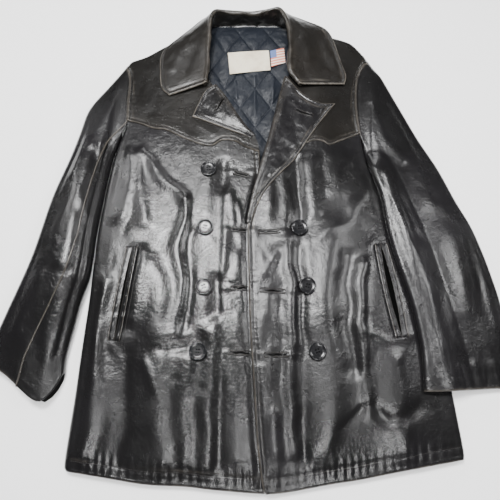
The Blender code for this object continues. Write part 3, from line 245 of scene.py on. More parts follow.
SLEEVE_LINES = (
    # Right sleeve, along its inner side
    (-279, -34, -289, -133, 5, 2.6), (-289, -133, -298, -192, 5, 2.6), (-298, -192, -304, -262, 5, 2.4),
    # Left sleeve, along its inner side
    (242, 77, 262, -5, 9, 3), (262, -5, 271, -85, 9, 3.2), (271, -85, 274, -143, 9, 3),
    (274, -143, 281, -180, 8, 2.8), (281, -180, 299, -248, 8, 2.8), (299, -248, 314, -296, 7, 2.4),
    # Left sleeve, upper arm and cuff
    (231, 225, 247, 152, 7, 2.2), (247, 152, 286, 94, 7, 2), (330, -262, 336, -300, 5, 1.4),
    (356, -258, 364, -300, 5, 1.3), (386, -256, 396, -298, 5, 1.3),
)

# Lapels: y of the fold's foot and top, the free edge from the foot up, and the top edge
LAPEL_FOLD_R = (152, 261)
LAPEL_EDGE_R = ((0, 147), (-20, 155), (-65, 174), (-109, 193))
LAPEL_TOP_R = ((-70, 261), (-84, 252), (-98, 224), (-109, 193))
LAPEL_FOLD_L = (-22, 280)
LAPEL_EDGE_L = ((3, -26), (12, 6), (26, 36), (51, 68), (82, 103), (106, 141), (129, 176), (163, 223))
LAPEL_TOP_L = ((72, 280), (97, 246), (130, 224), (163, 223))
FOLD_INSIDE_FOOT = 0.8
FOLD_INSIDE_TOP = 2.8
LAPEL_EDGE_LIFT = 1.0

# Collar, from its right front end round the neck: neck seam x, y, z, top of the roll, outer edge
COLLAR = (
    (-88, 264, 22, -86, 263, 35, -155, 239, 27), (-89, 281, 22, -84, 283, 37, -171, 258, 27),
    (-89, 306, 25, -82, 309, 38, -176, 296, 27), (-89, 335, 24, -82, 338, 40, -177, 326, 27),
    (-89, 362, 22, -81, 367, 42, -171, 347, 26), (-87, 387, 19, -80, 393, 44, -157, 365, 24),
    (-82, 408, 14, -77, 415, 45, -124, 403, 19), (-70, 422, 8, -68, 430, 45, -93, 439, 13),
    (-45, 429, 3, -44, 431, 41, -56, 453, 6), (0, 430, 3, 0, 430, 39, 0, 456, 5),
    (36, 429, 3, 34, 432, 43, 43, 455, 6), (62, 423, 8, 57, 433, 47, 79, 447, 13),
    (77, 406, 14, 70, 413, 46, 118, 424, 20), (83, 384, 19, 77, 390, 44, 150, 404, 24),
    (86, 360, 22, 79, 362, 42, 164, 382, 26), (86, 332, 25, 79, 332, 40, 173, 346, 27),
    (84, 308, 25, 78, 306, 38, 180, 315, 27), (85, 288, 22, 81, 287, 37, 187, 285, 27),
    (99, 262, 22, 97, 260, 36, 183, 265, 27),
)
COLLAR_ROLL_RADIUS = 4.6
COLLAR_FOOT_REACH = 5.0
# Soft dents of the stand behind the neck, x and y along it, in the columns of the folds
COLLAR_DENTS = ((-60, 412, -30, 440, 5, 1.6), (-20, 424, -6, 446, 4, -1.4), (10, 424, 22, 446, 4, 1.4),
                (44, 420, 58, 440, 5, -1.4), (-74, 396, -70, 424, 5, -1.2))

# Soft creases of the fall, in the columns of the folds
COLLAR_CREASES = ((-128, 362, -156, 290, 9, 1.8), (-108, 350, -128, 290, 8, -1.2),
                  (-150, 350, -166, 310, 6, 1), (108, 376, 118, 300, 10, 1.6),
                  (136, 360, 150, 300, 8, -1.2), (-100, 400, -120, 372, 7, 1.2),
                  (92, 404, 118, 380, 8, 1.2), (160, 340, 168, 296, 6, 1))

LINING_Z = 2.1
LINING_THICK = 2.2
QUILT_RISE = 3.6
DIAMOND = (60, 88)
DIAMOND_CENTRE = (9.6, 228)
LINING_SHOWS = ((-82, 424), (-88, 330), (-80, 268), (-52, 214), (-22, 168), (-2, 120), (0, 60), (40, 60),
                (50, 130), (70, 200), (84, 280), (90, 330), (84, 424))
LINING_PLEATS = ((9, 300, 10, 204, 3, 2.2), (47, 296, 44, 226, 3, 2), (-30, 290, -26, 244, 3, 1.6))
LINING_TOP = 426.0
LABEL = ((-45, 355), (38, 361), (41, 313), (-40, 303))
FLAG_TAG = ((41, 360), (69, 367), (71, 331), (43, 321))
QUILT_TOP = 3.0

BUTTONS_R = ((-75, 82), (-78, -31), (-77, -137), (-83, -243))
BUTTONS_L = ((86, -32), (96, -136), (107, -243))
# Buttonholes: x and y of one end and of the other
HOLES_R = ((-29, 76, -4, 69), (-31, -35, -7, -36), (-31, -139, -5, -139), (-34, -244, 0, -246))
HOLES_L = ((15, -40, 51, -39), (18, -143, 57, -145), (24, -249, 60, -248))
HOLE_LAPEL_R = (-63, 203, -50, 230)
HOLE_LAPEL_L = (86, 204, 117, 193)

POCKET_R = ((-201, -66), (-219, -226), 10, 3.6)
POCKET_L = ((224, -60), (245, -221), 11, 9)
LIP_THICK = 2.0


class Side(Enum):
    """The wearer's side that a piece is on."""

    RIGHT = "r"
    LEFT = "l"


class Slot(Enum):
    """The record's material slots."""

    LEATHER = "leather"
    COLLAR = "collar_leather"
    LINING = "lining"
    LABEL = "label"
    TAG = "tag"
    BUTTON = "button"


# Plan geometry


def ease(amount: Array | float) -> Array:
    """Gives a smooth step from 0 to 1."""
    amount = np.clip(amount, 0.0, 1.0)
    return amount * amount * (3.0 - 2.0 * amount)


def unit(vectors: Array) -> Array:
    """Gives the vectors at length 1."""
    return vectors / np.maximum(np.linalg.norm(vectors, axis=-1, keepdims=True), 1e-9)


def smooth_line(points: Points, per_span: int = 10) -> Array:
    """Draws a dense smooth line through knots.

    Args:
        points: the knots, of any number of columns.
        per_span: how many points each span gets.

    Returns:
        The line's points, one a row.
    """
    knots = np.array(points, dtype=float)
    ends = np.vstack([2 * knots[0] - knots[1], knots, 2 * knots[-1] - knots[-2]])
    dense = []
    for i in range(len(knots) - 1):
        a, b, c, d = ends[i:i + 4]
        for t in np.arange(per_span) / per_span:
            dense.append(0.5 * (2 * b + (c - a) * t + (2 * a - 5 * b + 4 * c - d) * t ** 2
                                + (3 * b - a - 3 * c + d) * t ** 3))
    dense.append(knots[-1])
    return np.array(dense)


def on_line(points: Points, shares: Array) -> Array:
    """Gives places along the smooth line through the points.

    Args:
        points: the knots.
        shares: how far along, from 0 to 1 of the plan length.

    Returns:
        One point for each share.
    """
    dense = smooth_line(points)
    steps = np.linalg.norm(np.diff(dense[:, :2], axis=0), axis=1)
    length = np.concatenate([[0.0], np.cumsum(steps)])
    wanted = np.asarray(shares) * length[-1]
    return np.stack([np.interp(wanted, length, dense[:, k]) for k in range(dense.shape[1])], axis=1)


def line_length(points: Points) -> float:
    """Gives the plan length of the smooth line through the points."""
    dense = smooth_line(points)
    return float(np.linalg.norm(np.diff(dense[:, :2], axis=0), axis=1).sum())


def fine_shares(length: float, near_start: bool, near_end: bool, step: float = STEP) -> Array:
    """Spreads points along a length, closer together at the ends named.

    Args:
        length: the length, in millimetres.
        near_start: whether the start is an edge that shows.
        near_end: whether the end is.
        step: the usual distance between points.

    Returns:
        Shares of the length, from 0 to 1.
    """
    edge = np.array(NEAR_EDGE)
    lead = edge if near_start else edge[:1]
    tail = edge if near_end else edge[:1]
    between = length - lead[-1] - tail[-1]
    middle = np.linspace(lead[-1], length - tail[-1], max(2, int(between / step)) + 1)
    return np.concatenate([lead[:-1], middle, length - tail[::-1][1:]]) / length


def read_table(table: Points, key: Array, column: int) -> Array:
    """Reads a column of a table at values of its first column."""
    rows = np.array(table, dtype=float)
    return np.interp(key, rows[:, 0], rows[:, column])


def coons(side_a: Array, side_b: Array, start: Array, end: Array, row_shares: Array,
          column_shares: Array, fade: int = 1) -> Array:
    """Fills the plan between four outlines with points.

    Args:
        side_a: where each row begins.
        side_b: where each row ends.
        start: the first row.
        end: the last row.
        row_shares: how far along each row lies.
        column_shares: how far across each column lies.
        fade: how fast the start's and the end's own bows die out.

    Returns:
        Plan points, rows by columns by 2.
    """
    s = row_shares[:, None, None]
    u = column_shares[None, :, None]
    across = (1 - u) * side_a[:, None] + u * side_b[:, None]
    start_bow = start[None] - ((1 - u) * start[0] + u * start[-1])
    end_bow = end[None] - ((1 - u) * end[0] + u * end[-1])
    return across + (1 - s) ** fade * start_bow + s ** fade * end_bow


def inward_normals(edge: Array, towards: Array) -> Array:
    """Gives plan unit vectors square to an edge, on the side of the other points.

    Args:
        edge: the edge's points.
        towards: a point for each of them, on the wanted side.

    Returns:
        One unit vector for each point.
    """
    along = np.gradient(edge, axis=0)
    normals = unit(np.stack([-along[:, 1], along[:, 0]], axis=1))
    signs = np.sign(np.sum(normals * (towards - edge), axis=1))
    signs[signs == 0] = 1
    return normals * signs[:, None]


def pinned(line: Array, first: Array, last: Array, shares: Array, span: float) -> Array:
    """Moves a line's ends to given points, with the change dying out over a span.

    Args:
        line: plan points along the line.
        first: where its first point goes.
        last: where its last point goes.
        shares: how far along each point lies.
        span: the share of the length that gives way at each end.

    Returns:
        The moved line.
    """
    at_start = np.clip(1 - shares / span, 0, 1)[:, None]
    at_end = np.clip(1 - (1 - shares) / span, 0, 1)[:, None]
    return line + at_start * (first - line[0]) + at_end * (last - line[-1])


def rolled_columns(edge: Array, first: Array, seam_z: Array | float, top_z: Array,
                   amount: Array) -> Array:
    """Rounds an edge with columns of points, from its seam to the panel's first column.

    Args:
        edge: plan points of the edge.
        first: plan points of the panel's first column.
        seam_z: height of the seam.
        top_z: height of the first column.
        amount: how much of the drop to the seam each row makes.

    Returns:
        Rows by columns by 3.
    """
    columns = []
    for angle in np.radians(ROLL_ANGLES):
        plan = edge + (first - edge) * (1 - math.cos(angle))
        z = top_z + amount * (seam_z - top_z) * (1 - math.sin(angle))
        columns.append(np.column_stack([plan, z]))
    return np.stack(columns, axis=1)


def distance_from(grid: Array, axis: int, from_end: bool) -> Array:
    """Measures how far each point of a grid lies from one of its edges, along the grid.

    Args:
        grid: the points.
        axis: 0 to measure down the rows, 1 across the columns.
        from_end: whether the edge is the last row or column.

    Returns:
        Rows by columns of millimetres.
    """
    steps = np.linalg.norm(np.diff(grid, axis=axis), axis=-1)
    pad = [(0, 0), (0, 0)]
    pad[axis] = (1, 0)
    run = np.cumsum(np.pad(steps, pad), axis=axis)
    if not from_end:
        return run
    total = run[-1:, :] if axis == 0 else run[:, -1:]
    return total - run


# Relief


@dataclass(frozen=True)
class SmoothNoise:
    """Soft random heights over the plan, the same on each run."""

    seed: int
    cell: float
    octaves: int = 3
    stretch: float = 1.0
    lattice: int = 97

    def at(self, x: Array, y: Array) -> Array:
        """Reads the heights.

        Args:
            x: plan x.
            y: plan y.

        Returns:
            Heights of about -1 to 1.
        """
        random = np.random.default_rng(self.seed)
        total = np.zeros_like(np.asarray(x, dtype=float))
        weight, size = 1.0, self.cell
        for _ in range(self.octaves):
            values = random.uniform(-1.0, 1.0, (self.lattice, self.lattice))
            u = np.asarray(x) / size
            v = np.asarray(y) / (size * self.stretch)
            i, j = np.floor(u).astype(int), np.floor(v).astype(int)
            fu, fv = ease(u - i), ease(v - j)
            i0, i1 = i % self.lattice, (i + 1) % self.lattice
            j0, j1 = j % self.lattice, (j + 1) % self.lattice
            low = values[i0, j0] * (1 - fu) + values[i1, j0] * fu
            high = values[i0, j1] * (1 - fu) + values[i1, j1] * fu
            total += weight * (low * (1 - fv) + high * fv)
            weight, size = weight * 0.5, size * 0.5
        return total


DENTS = SmoothNoise(seed=11, cell=46.0, octaves=2, stretch=1.7)
SWAY_X = SmoothNoise(seed=21, cell=66.0, octaves=2)
SWAY_Y = SmoothNoise(seed=22, cell=80.0, octaves=2)
WRINKLES = SmoothNoise(seed=12, cell=12.0, octaves=2, stretch=1.3)
LAPEL_WRINKLES = SmoothNoise(seed=13, cell=21.0, octaves=3)
SLEEVE_DENTS = SmoothNoise(seed=14, cell=48.0, octaves=2, stretch=1.8)
RUB = SmoothNoise(seed=15, cell=9.0, octaves=3)


@dataclass(frozen=True)
class EdgeFinish:
    """Relief of a sewn edge: its rounding, a raised lip, a stitched groove and small puckers."""

    round_off: float = EDGE_ROUND
    lip: float = 0.7
    lip_at: float = 3.2
    lip_width: float = 2.2
    groove: float = 0.8
    groove_at: float = 8.0
    groove_width: float = 1.9
    pucker: float = 0.35
    pucker_pitch: float = 8.5
    pucker_reach: float = 7.0

    def relief(self, distance: Array, along: Array) -> Array:
        """Gives the height that the edge's finish adds.

        Args:
            distance: how far from the edge each point is.
            along: how far along the edge it is.

        Returns:
            Heights in millimetres.
        """
        phase = 2 * math.pi * along / self.pucker_pitch
        phase = phase + 1.7 * np.sin(along / 31.0) + 0.9 * np.sin(along / 12.3)
        beat = 0.65 + 0.35 * np.sin(along / 19.0 + 1.0)
        inside = np.clip(self.round_off - distance, 0.0, self.round_off)
        rounded = self.round_off - np.sqrt(np.maximum(self.round_off ** 2 - inside ** 2, 0.0))
        lip = self.lip * np.exp(-((distance - self.lip_at) / self.lip_width) ** 2)
        groove = self.groove * np.exp(-((distance - self.groove_at) / self.groove_width) ** 2)
        reach = np.exp(-((distance - self.groove_at) / self.pucker_reach) ** 2)
        puckers = self.pucker * beat * np.sin(phase) * reach
        return lip - groove * (0.8 + 0.2 * np.sin(phase)) + puckers - 0.75 * rounded

    def wear(self, distance: Array, along: Array, amount: float) -> Array:
        """Gives how rubbed the cloth is near the edge, from 0 to 1.

        Args:
            distance: how far from the edge each point is.
            along: how far along the edge it is.
            amount: the most rubbing.

        Returns:
            Shares of rubbing.
        """
        patchy = 0.7 + 0.3 * np.sin(along / 23.0) * np.sin(along / 7.7 + 2.0)
        edge = np.exp(-((distance - 0.9) / 1.1) ** 2)
        edge += 0.35 * np.exp(-((distance - self.groove_at - 1.9) / 0.9) ** 2)
        return np.clip(amount * patchy * edge, 0.0, 1.0)


HEM = EdgeFinish(lip=0.6, lip_at=4.0, groove=1.2, groove_at=20.0, groove_width=2.2, pucker=1.2,
                 pucker_pitch=13.0, pucker_reach=12.0)
FRONT_EDGE = EdgeFinish(lip=1.0, lip_at=2.8, lip_width=1.7, groove=1.3, groove_at=7.2, groove_width=1.6,
                        pucker=0.6, pucker_pitch=9.0)
YOKE_EDGE = EdgeFinish(lip=0.9, lip_at=1.9, lip_width=1.3, groove=0.45, groove_at=7.0, groove_width=1.3,
                       pucker=0.25)
TURNED_EDGE = EdgeFinish(lip=0.8, groove=0.9, groove_at=8.0, pucker=0.4, pucker_pitch=7.5)
PLAIN_EDGE = EdgeFinish(lip=0.3, groove=0.35, groove_at=22.0, pucker=0.25, pucker_pitch=13.0,
                        pucker_reach=14.0)
UNDER_SEAM = EdgeFinish(round_off=1.6, lip=0.0, groove=0.0, pucker=0.12, groove_at=5.0, pucker_reach=8.0)
ARMHOLE_EDGE = EdgeFinish(round_off=1.2, lip=1.0, lip_at=2.6, lip_width=2.4, groove=0.7, groove_at=7.5,
                          pucker=0.3, pucker_pitch=11.0)


def fold_relief(x: Array, y: Array, folds: Points) -> Array:
    """Adds up the soft ridges and troughs of a table.

    Args:
        x: plan x.
        y: plan y.
        folds: start, end, half width and height of each.

    Returns:
        Heights in millimetres.
    """
    total = np.zeros_like(x)
    for x0, y0, x1, y1, half_width, height in folds:
        dx, dy = x1 - x0, y1 - y0
        length = math.hypot(dx, dy)
        t = ((x - x0) * dx + (y - y0) * dy) / length ** 2
        across = ((x - x0) * dy - (y - y0) * dx) / length
        reach = half_width * np.where(across > 0, LONG_FLANK, SHORT_FLANK)
        tip = 1.2 * half_width / length
        fade = ease((t + tip) / (2.0 * tip)) * ease((1 + tip - t) / (2.0 * tip))
        total += height * fade * np.exp(-(across / reach) ** 2)
    return total


def swayed(x: Array, y: Array, sway: float, folds: Points) -> Array:
    """Adds up folds whose lines wander a little.

    Args:
        x: plan x.
        y: plan y.
        sway: how far the lines wander, in millimetres.
        folds: the table of folds.

    Returns:
        Heights in millimetres.
    """
    return fold_relief(x + sway * SWAY_X.at(x, y), y + sway * SWAY_Y.at(x, y), folds)


@dataclass(frozen=True)
class BodyForm:
    """The height of the coat's fronts over the floor."""

    dents: float = 0.8
    wrinkles: float = 0.07
    fold_share: float = 1.0
    crease_share: float = 0.42
    line_share: float = 0.7
    sway: float = 6.5
    calm_from: float = 8.0
    calm_over: float = 22.0
    edge_dip: float = 3.2
    edge_dip_width: float = 6.0

    @staticmethod
    def side_x(outline: Points, y: Array) -> Array:
        """Gives the x of a side outline at heights y on the coat."""
        dense = smooth_line(outline)
        order = np.argsort(dense[:, 1])
        return np.interp(y, dense[order, 1], dense[order, 0])

    def height(self, x: Array, y: Array) -> Array:
        """Gives the top of the fronts, without the overlap.

        Args:
            x: plan x.
            y: plan y.

        Returns:
            Heights in millimetres.
        """
        x, y = np.asarray(x, dtype=float), np.asarray(y, dtype=float)
        middle = read_table(BODY_HEIGHTS, y, 1)
        from_right = x - self.side_x(SIDE_R + ARMHOLE_R[1:], y)
        from_left = self.side_x(SIDE_L + ARMHOLE_L[1:], y) - x
        right, left = read_table(BODY_HEIGHTS, y, 2), read_table(BODY_HEIGHTS, y, 3)
        base = np.minimum(right + (middle - right) * ease(from_right / SIDE_BLEND),
                          left + (middle - left) * ease(from_left / SIDE_BLEND))
        calm = ease((np.minimum(from_right, from_left) - self.calm_from) / self.calm_over)
        fine = self.dents * DENTS.at(x, y) + self.wrinkles * WRINKLES.at(x, y) + self.pulls(x, y)
        folds = self.fold_share * swayed(x, y, self.sway, BODY_FOLDS)
        folds += self.crease_share * swayed(x, y, self.sway, BODY_CREASES)
        folds += self.line_share * swayed(x, y, self.sway / 2, BODY_LINES)
        return base + calm * (folds + fine)

    @staticmethod
    def pulls(x: Array, y: Array) -> Array:
        """Gives the small pulls that run out from each buttonhole.

        Args:
            x: plan x.
            y: plan y.

        Returns:
            The pulls' heights.
        """
        total = np.zeros_like(x)
        for px, py, half in PULLS:
            dx, dy = x - px, y - py
            reach = np.exp(-((np.abs(dx) - half) / 12.0) ** 2)
            total += 0.9 * reach * np.cos(dy / 3.4) * np.exp(-(dy / 9.0) ** 2)
            total -= 0.8 * np.exp(-(dx / (half + 4.0)) ** 4) * np.exp(-(dy / 6.0) ** 2)
        return total

    def right_height(self, x: Array, y: Array) -> Array:
        """Gives the top of the right front, which dips beside the left front's edge."""
        away = np.asarray(x) - self.side_x(FRONT_EDGE_L, y) + 2.0
        return self.height(x, y) - self.edge_dip * np.exp(-(away / self.edge_dip_width) ** 2)

    def left_height(self, x: Array, y: Array) -> Array:
        """Gives the top of the left front, which lies over the right one along the middle."""
        lift = (LEATHER + SEAM_GAP + 0.3) * ease((OVERLAP_X + OVERLAP_BLEND - np.asarray(x)) / OVERLAP_BLEND)
        return self.height(x, y) + lift


FORM = BodyForm()


# Meshes


def grid_faces(rows: int, columns: int) -> Array:
    """Numbers the corners of each face of a grid of points."""
    first = (np.arange(rows - 1)[:, None] * columns + np.arange(columns - 1)[None]).reshape(-1)
    return np.stack([first, first + 1, first + columns + 1, first + columns], axis=1)


def smoothed(heights: Array, passes: int) -> Array:
    """Evens out a grid of heights, but for its border.

    Args:
        heights: the heights.
        passes: how often each one takes on some of its neighbours' height.

    Returns:
        The evened heights.
    """
    even = heights.copy()
    for _ in range(passes):
        even[1:-1, 1:-1] = (even[1:-1, 1:-1] * 2 + even[:-2, 1:-1] + even[2:, 1:-1]
                            + even[1:-1, :-2] + even[1:-1, 2:]) / 6
    return even


class Cover:
    """The top surfaces that other pieces lie on, asked for their height."""

    def __init__(self) -> None:
        """Starts with no surface."""
        self.points: list[tuple[float, ...]] = []
        self.faces: list[tuple[int, ...]] = []
        self.tree: BVHTree | None = None

    def add(self, grid: Array) -> None:
        """Takes in a panel's outer points."""
        self.faces += (grid_faces(*grid.shape[:2]) + len(self.points)).tolist()
        self.points += [tuple(p) for p in grid.reshape(-1, 3).tolist()]
        self.tree = BVHTree.FromPolygons(self.points, self.faces)

    def height(self, x: float, y: float, reach: float = 2.5) -> float:
        """Finds the highest point of the surfaces near a plan point.

        Args:
            x: plan x.
            y: plan y.
            reach: how far round the point to look.

        Returns:
            The height in millimetres, 0 where there is no surface.
        """
        best = 0.0
        for dx, dy in ((0, 0), (1, 0), (-1, 0), (0, 1), (0, -1)):
            hit = self.tree.ray_cast(Vector((x + dx * reach, y + dy * reach, 200.0)), Vector((0, 0, -1)))[0]
            if hit is not None:
                best = max(best, hit.z)
        return best

    def line(self, plan: Array, lift: float) -> Array:
        """Drapes a plan line over the surfaces.

        Args:
            plan: plan points.
            lift: how far above the surface the line runs.

        Returns:
            Points with their height.
        """
        heights = [self.height(float(x), float(y), reach=0.4) + lift for x, y in plan]
        return np.column_stack([plan, heights])


def grid_normals(grid: Array, facing: tuple[int, int, int], one_way: bool = False) -> Array:
    """Gives unit normals of a grid of points.

    Args:
        grid: rows by columns by 3.
        facing: row, column and sign of z of a normal whose side is known.
        one_way: whether every normal has that sign of z.

    Returns:
        Normals, rows by columns by 3.
    """
    normals = unit(np.cross(np.gradient(grid, axis=0), np.gradient(grid, axis=1)))
    row, column, sign = facing
    if one_way:
        return np.where(normals[..., 2:] * sign < 0, -normals, normals)
    return -normals if normals[row, column, 2] * sign < 0 else normals


def link_mesh(name: str, points: Array, faces: list, material: Material,
              smooth_angle: float = 50.0) -> bpy.types.Object:
    """Makes an object at the origin from points in millimetres.

    Args:
        name: the piece's name.
        points: its points.
        faces: its faces, as lists of point numbers.
        material: its finish.
        smooth_angle: the angle above which an edge stays sharp.

    Returns:
        The linked object.
    """
    mesh = bpy.data.meshes.new(name)
    mesh.from_pydata((np.asarray(points) * MM).tolist(), [], faces)
    mesh.materials.append(material)
    mesh.shade_smooth()
    mesh.set_sharp_from_angle(angle=math.radians(smooth_angle))
    piece = bpy.data.objects.new(name, mesh)
    bpy.context.scene.collection.objects.link(piece)
    return piece


@dataclass
class ClothWall:
    """A closed wall of cloth under a grid of outer points."""

    name: str
    grid: Array
    thickness: float
    facing: tuple[int, int, int]
    wear: Array | None = None
    one_way: bool = False

    def build(self, material: Material) -> bpy.types.Object:
        """Makes the wall, with its wear as an attribute and its own size as its UV map.

        Args:
            material: the wall's finish.

        Returns:
            The wall's object.
        """
        normals = grid_normals(self.grid, self.facing, self.one_way)
        rows, columns = self.grid.shape[:2]
        count = rows * columns
        points = np.vstack([self.grid.reshape(-1, 3), (self.grid - self.thickness * normals).reshape(-1, 3)])
        outer = grid_faces(rows, columns)
        border = np.concatenate([np.arange(columns - 1), np.arange(rows - 1) * columns + columns - 1,
                                 (rows - 1) * columns + np.arange(columns - 1, 0, -1),
                                 np.arange(rows - 1, 0, -1) * columns])
        after = np.roll(border, -1)
        rim = np.stack([border, border + count, after + count, after], axis=1)
        faces = np.vstack([outer, outer[:, ::-1] + count, rim])
        a, b, c = (points[outer[0, k]] for k in (0, 1, 3))
        middle = normals[0, 0] + normals[0, 1] + normals[1, 0]
        if np.dot(np.cross(b - a, c - a), middle) < 0:
            faces = faces[:, ::-1]
        piece = link_mesh(self.name, points, faces.tolist(), material, smooth_angle=62.0)
        self._mark(piece.data)
        return piece

    def _mark(self, mesh: bpy.types.Mesh) -> None:
        """Writes the wear attribute and the UV map.

        Args:
            mesh: the wall's mesh.
        """
        worn = np.zeros(self.grid.shape[:2]) if self.wear is None else self.wear
        mark = mesh.attributes.new("wear", "FLOAT", "POINT")
        mark.data.foreach_set("value", np.tile(worn.reshape(-1), 2).astype(np.float32))
        across = distance_from(self.grid, 1, False) * MM
        along = distance_from(self.grid, 0, False) * MM
        flat = np.tile(np.stack([across, along], axis=-1).reshape(-1, 2), (2, 1))
        corners = np.zeros(len(mesh.loops), dtype=np.int32)
        mesh.loops.foreach_get("vertex_index", corners)
        mesh.uv_layers.new(name="UVMap").data.foreach_set("uv", flat[corners].reshape(-1).astype(np.float32))


def lay(wall: ClothWall, material: Material, nodes: Sequence[str]) -> bpy.types.Object:
    """Args:
        wall: the wall.
        material: its finish.
        nodes: the solids that it stands for.

    Returns:
        The wall's object.
    """
    piece = wall.build(material)
    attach(piece, BODY)
    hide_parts(*nodes)
    return piece


def add_trim(piece: bpy.types.Object, nodes: Sequence[str] = ()) -> bpy.types.Object:
    """Gives a small piece its body and the solids that it stands for.

    Args:
        piece: the piece.
        nodes: the solids' names.

    Returns:
        The piece.
    """
    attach(piece, BODY)
    if nodes:
        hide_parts(*nodes)
    LOG.info("%s: %d faces", piece.name, len(piece.data.polygons))
    return piece


# Finishes


class NodeSheet:
    """A node tree, filled in by short calls."""

    def __init__(self, tree: bpy.types.NodeTree) -> None:
        """Keeps the tree."""
        self.tree = tree

    def add(self, kind: str, inputs: dict | None = None, **settings: object) -> bpy.types.Node:
        """Adds a node.

        Args:
            kind: the node's type.
            inputs: values or sockets for its inputs, by name or number.
            settings: values for its properties.

        Returns:
            The node.
        """
        node = self.tree.nodes.new(kind)
        for key, value in settings.items():
            setattr(node, key, value)
        for key, value in (inputs or {}).items():
            self.put(node.inputs[key], value)
        return node

    def put(self, socket: Socket, value: object) -> None:
        """Links a socket to an input, or sets the input's value."""
        if isinstance(value, Socket):
            self.tree.links.new(value, socket)
        else:
            socket.default_value = value

    def made(self, kind: str, inputs: dict | None = None, **settings: object) -> Socket:
        """Adds a node and gives its first output."""
        return self.add(kind, inputs, **settings).outputs[0]


class ShaderSheet(NodeSheet):
    """A material's node tree."""

    def __init__(self, name: str) -> None:
        """Starts a material with its Principled shader.

        Args:
            name: the material's name.
        """
        self.material = bpy.data.materials.new(name)
        self.material.use_nodes = True
        super().__init__(self.material.node_tree)
        self.shader = self.tree.nodes["Principled BSDF"]
        self.coordinates = self.tree.nodes.new("ShaderNodeTexCoord")

    def noise(self, scale: float, detail: float, roughness: float = 0.55, distortion: float = 0.0
              ) -> Socket:
        """Adds a noise pattern in object coordinates and gives its value."""
        made = self.add("ShaderNodeTexNoise", {"Vector": self.coordinates.outputs["Object"], "Scale": scale,
                                               "Detail": detail, "Roughness": roughness,
                                               "Distortion": distortion})
        return made.outputs["Fac"]

    def spread(self, value: Socket, low: float, high: float, to_low: float, to_high: float
               ) -> Socket:
        """Maps a value from one range to another, and gives the result."""
        made = self.add("ShaderNodeMapRange", {"Value": value, "From Min": low, "From Max": high,
                                               "To Min": to_low, "To Max": to_high})
        return made.outputs["Result"]

    def math(self, operation: str, a: object, b: object) -> Socket:
        """Adds a sum, product or comparison of two values."""
        return self.add("ShaderNodeMath", {0: a, 1: b}, operation=operation).outputs[0]

    def mix(self, share: object, a: object, b: object) -> Socket:
        """Mixes two colours.

        Args:
            share: how much of the second one.
            a: the first colour.
            b: the second colour.

        Returns:
            The mixed colour's socket.
        """
        made = self.add("ShaderNodeMix", {"Factor": share}, data_type="RGBA")
        self.put(made.inputs[6], a)
        self.put(made.inputs[7], b)
        return made.outputs[2]

    def bump(self, height: Socket, distance: float, strength: float,
             normal: Socket | None = None) -> Socket:
        """Adds a bump and gives the bumped normal.

        Args:
            height: the height's socket.
            distance: the bump's depth.
            strength: its share.
            normal: a normal that is bumped already.

        Returns:
            The bumped normal's socket.
        """
        inputs = {"Height": height, "Distance": distance, "Strength": strength}
        if normal is not None:
            inputs["Normal"] = normal
        return self.add("ShaderNodeBump", inputs).outputs["Normal"]

    def set(self, **values: object) -> None:
        """Sets or links the shader's own inputs; _ stands for a space."""
        for key, value in values.items():
            self.put(self.shader.inputs[key.replace("_", " ")], value)


def opaque(colour: Sequence[float]) -> tuple[float, float, float, float]:
    """Gives a colour with full alpha."""
    return (*colour, 1.0)


@dataclass(frozen=True)
class LeatherFinish:
    """Glossy black leather, rubbed brownish where its wear says so."""

    name: str
    colour: tuple[float, float, float] = (0.0060, 0.0058, 0.0060)
    tint: tuple[float, float, float] = (0.0082, 0.0076, 0.0086)
    worn: tuple[float, float, float] = (0.215, 0.190, 0.160)
    smooth: float = 0.20
    dull: float = 0.33
    grain_scale: float = 560.0
    crease_scale: float = 230.0

    def build(self) -> Material:
        """Makes the material."""
        sheet = ShaderSheet(self.name)
        wear = sheet.add("ShaderNodeAttribute", attribute_name="wear").outputs["Fac"]
        patches = sheet.noise(9.0, 6.0, 0.62)
        rub = sheet.spread(sheet.noise(150.0, 4.0), 0.35, 0.65, 0.35, 1.0)
        rubbed = sheet.math("MULTIPLY", wear, rub)
        gloss = sheet.spread(patches, 0.34, 0.66, self.smooth, self.dull)
        cool = sheet.spread(sheet.noise(5.0, 3.0), 0.45, 0.7, 0.0, 1.0)
        base = sheet.mix(cool, opaque(self.colour), opaque(self.tint))
        grain = sheet.add("ShaderNodeTexVoronoi", {"Vector": sheet.coordinates.outputs["Object"],
                                                   "Scale": self.grain_scale}, feature="SMOOTH_F1")
        cells = sheet.bump(grain.outputs["Distance"], 0.00016, 0.55)
        creases = sheet.bump(sheet.noise(self.crease_scale, 5.0, 0.62, 0.5), 0.0010, 0.42, cells)
        soft = sheet.bump(sheet.noise(75.0, 3.0, 0.5, 0.4), 0.0022, 0.22, creases)
        sheet.set(Base_Color=sheet.mix(rubbed, base, opaque(self.worn)),
                  Roughness=sheet.math("ADD", gloss, sheet.math("MULTIPLY", wear, 0.12)),
                  Normal=soft)
        return sheet.material


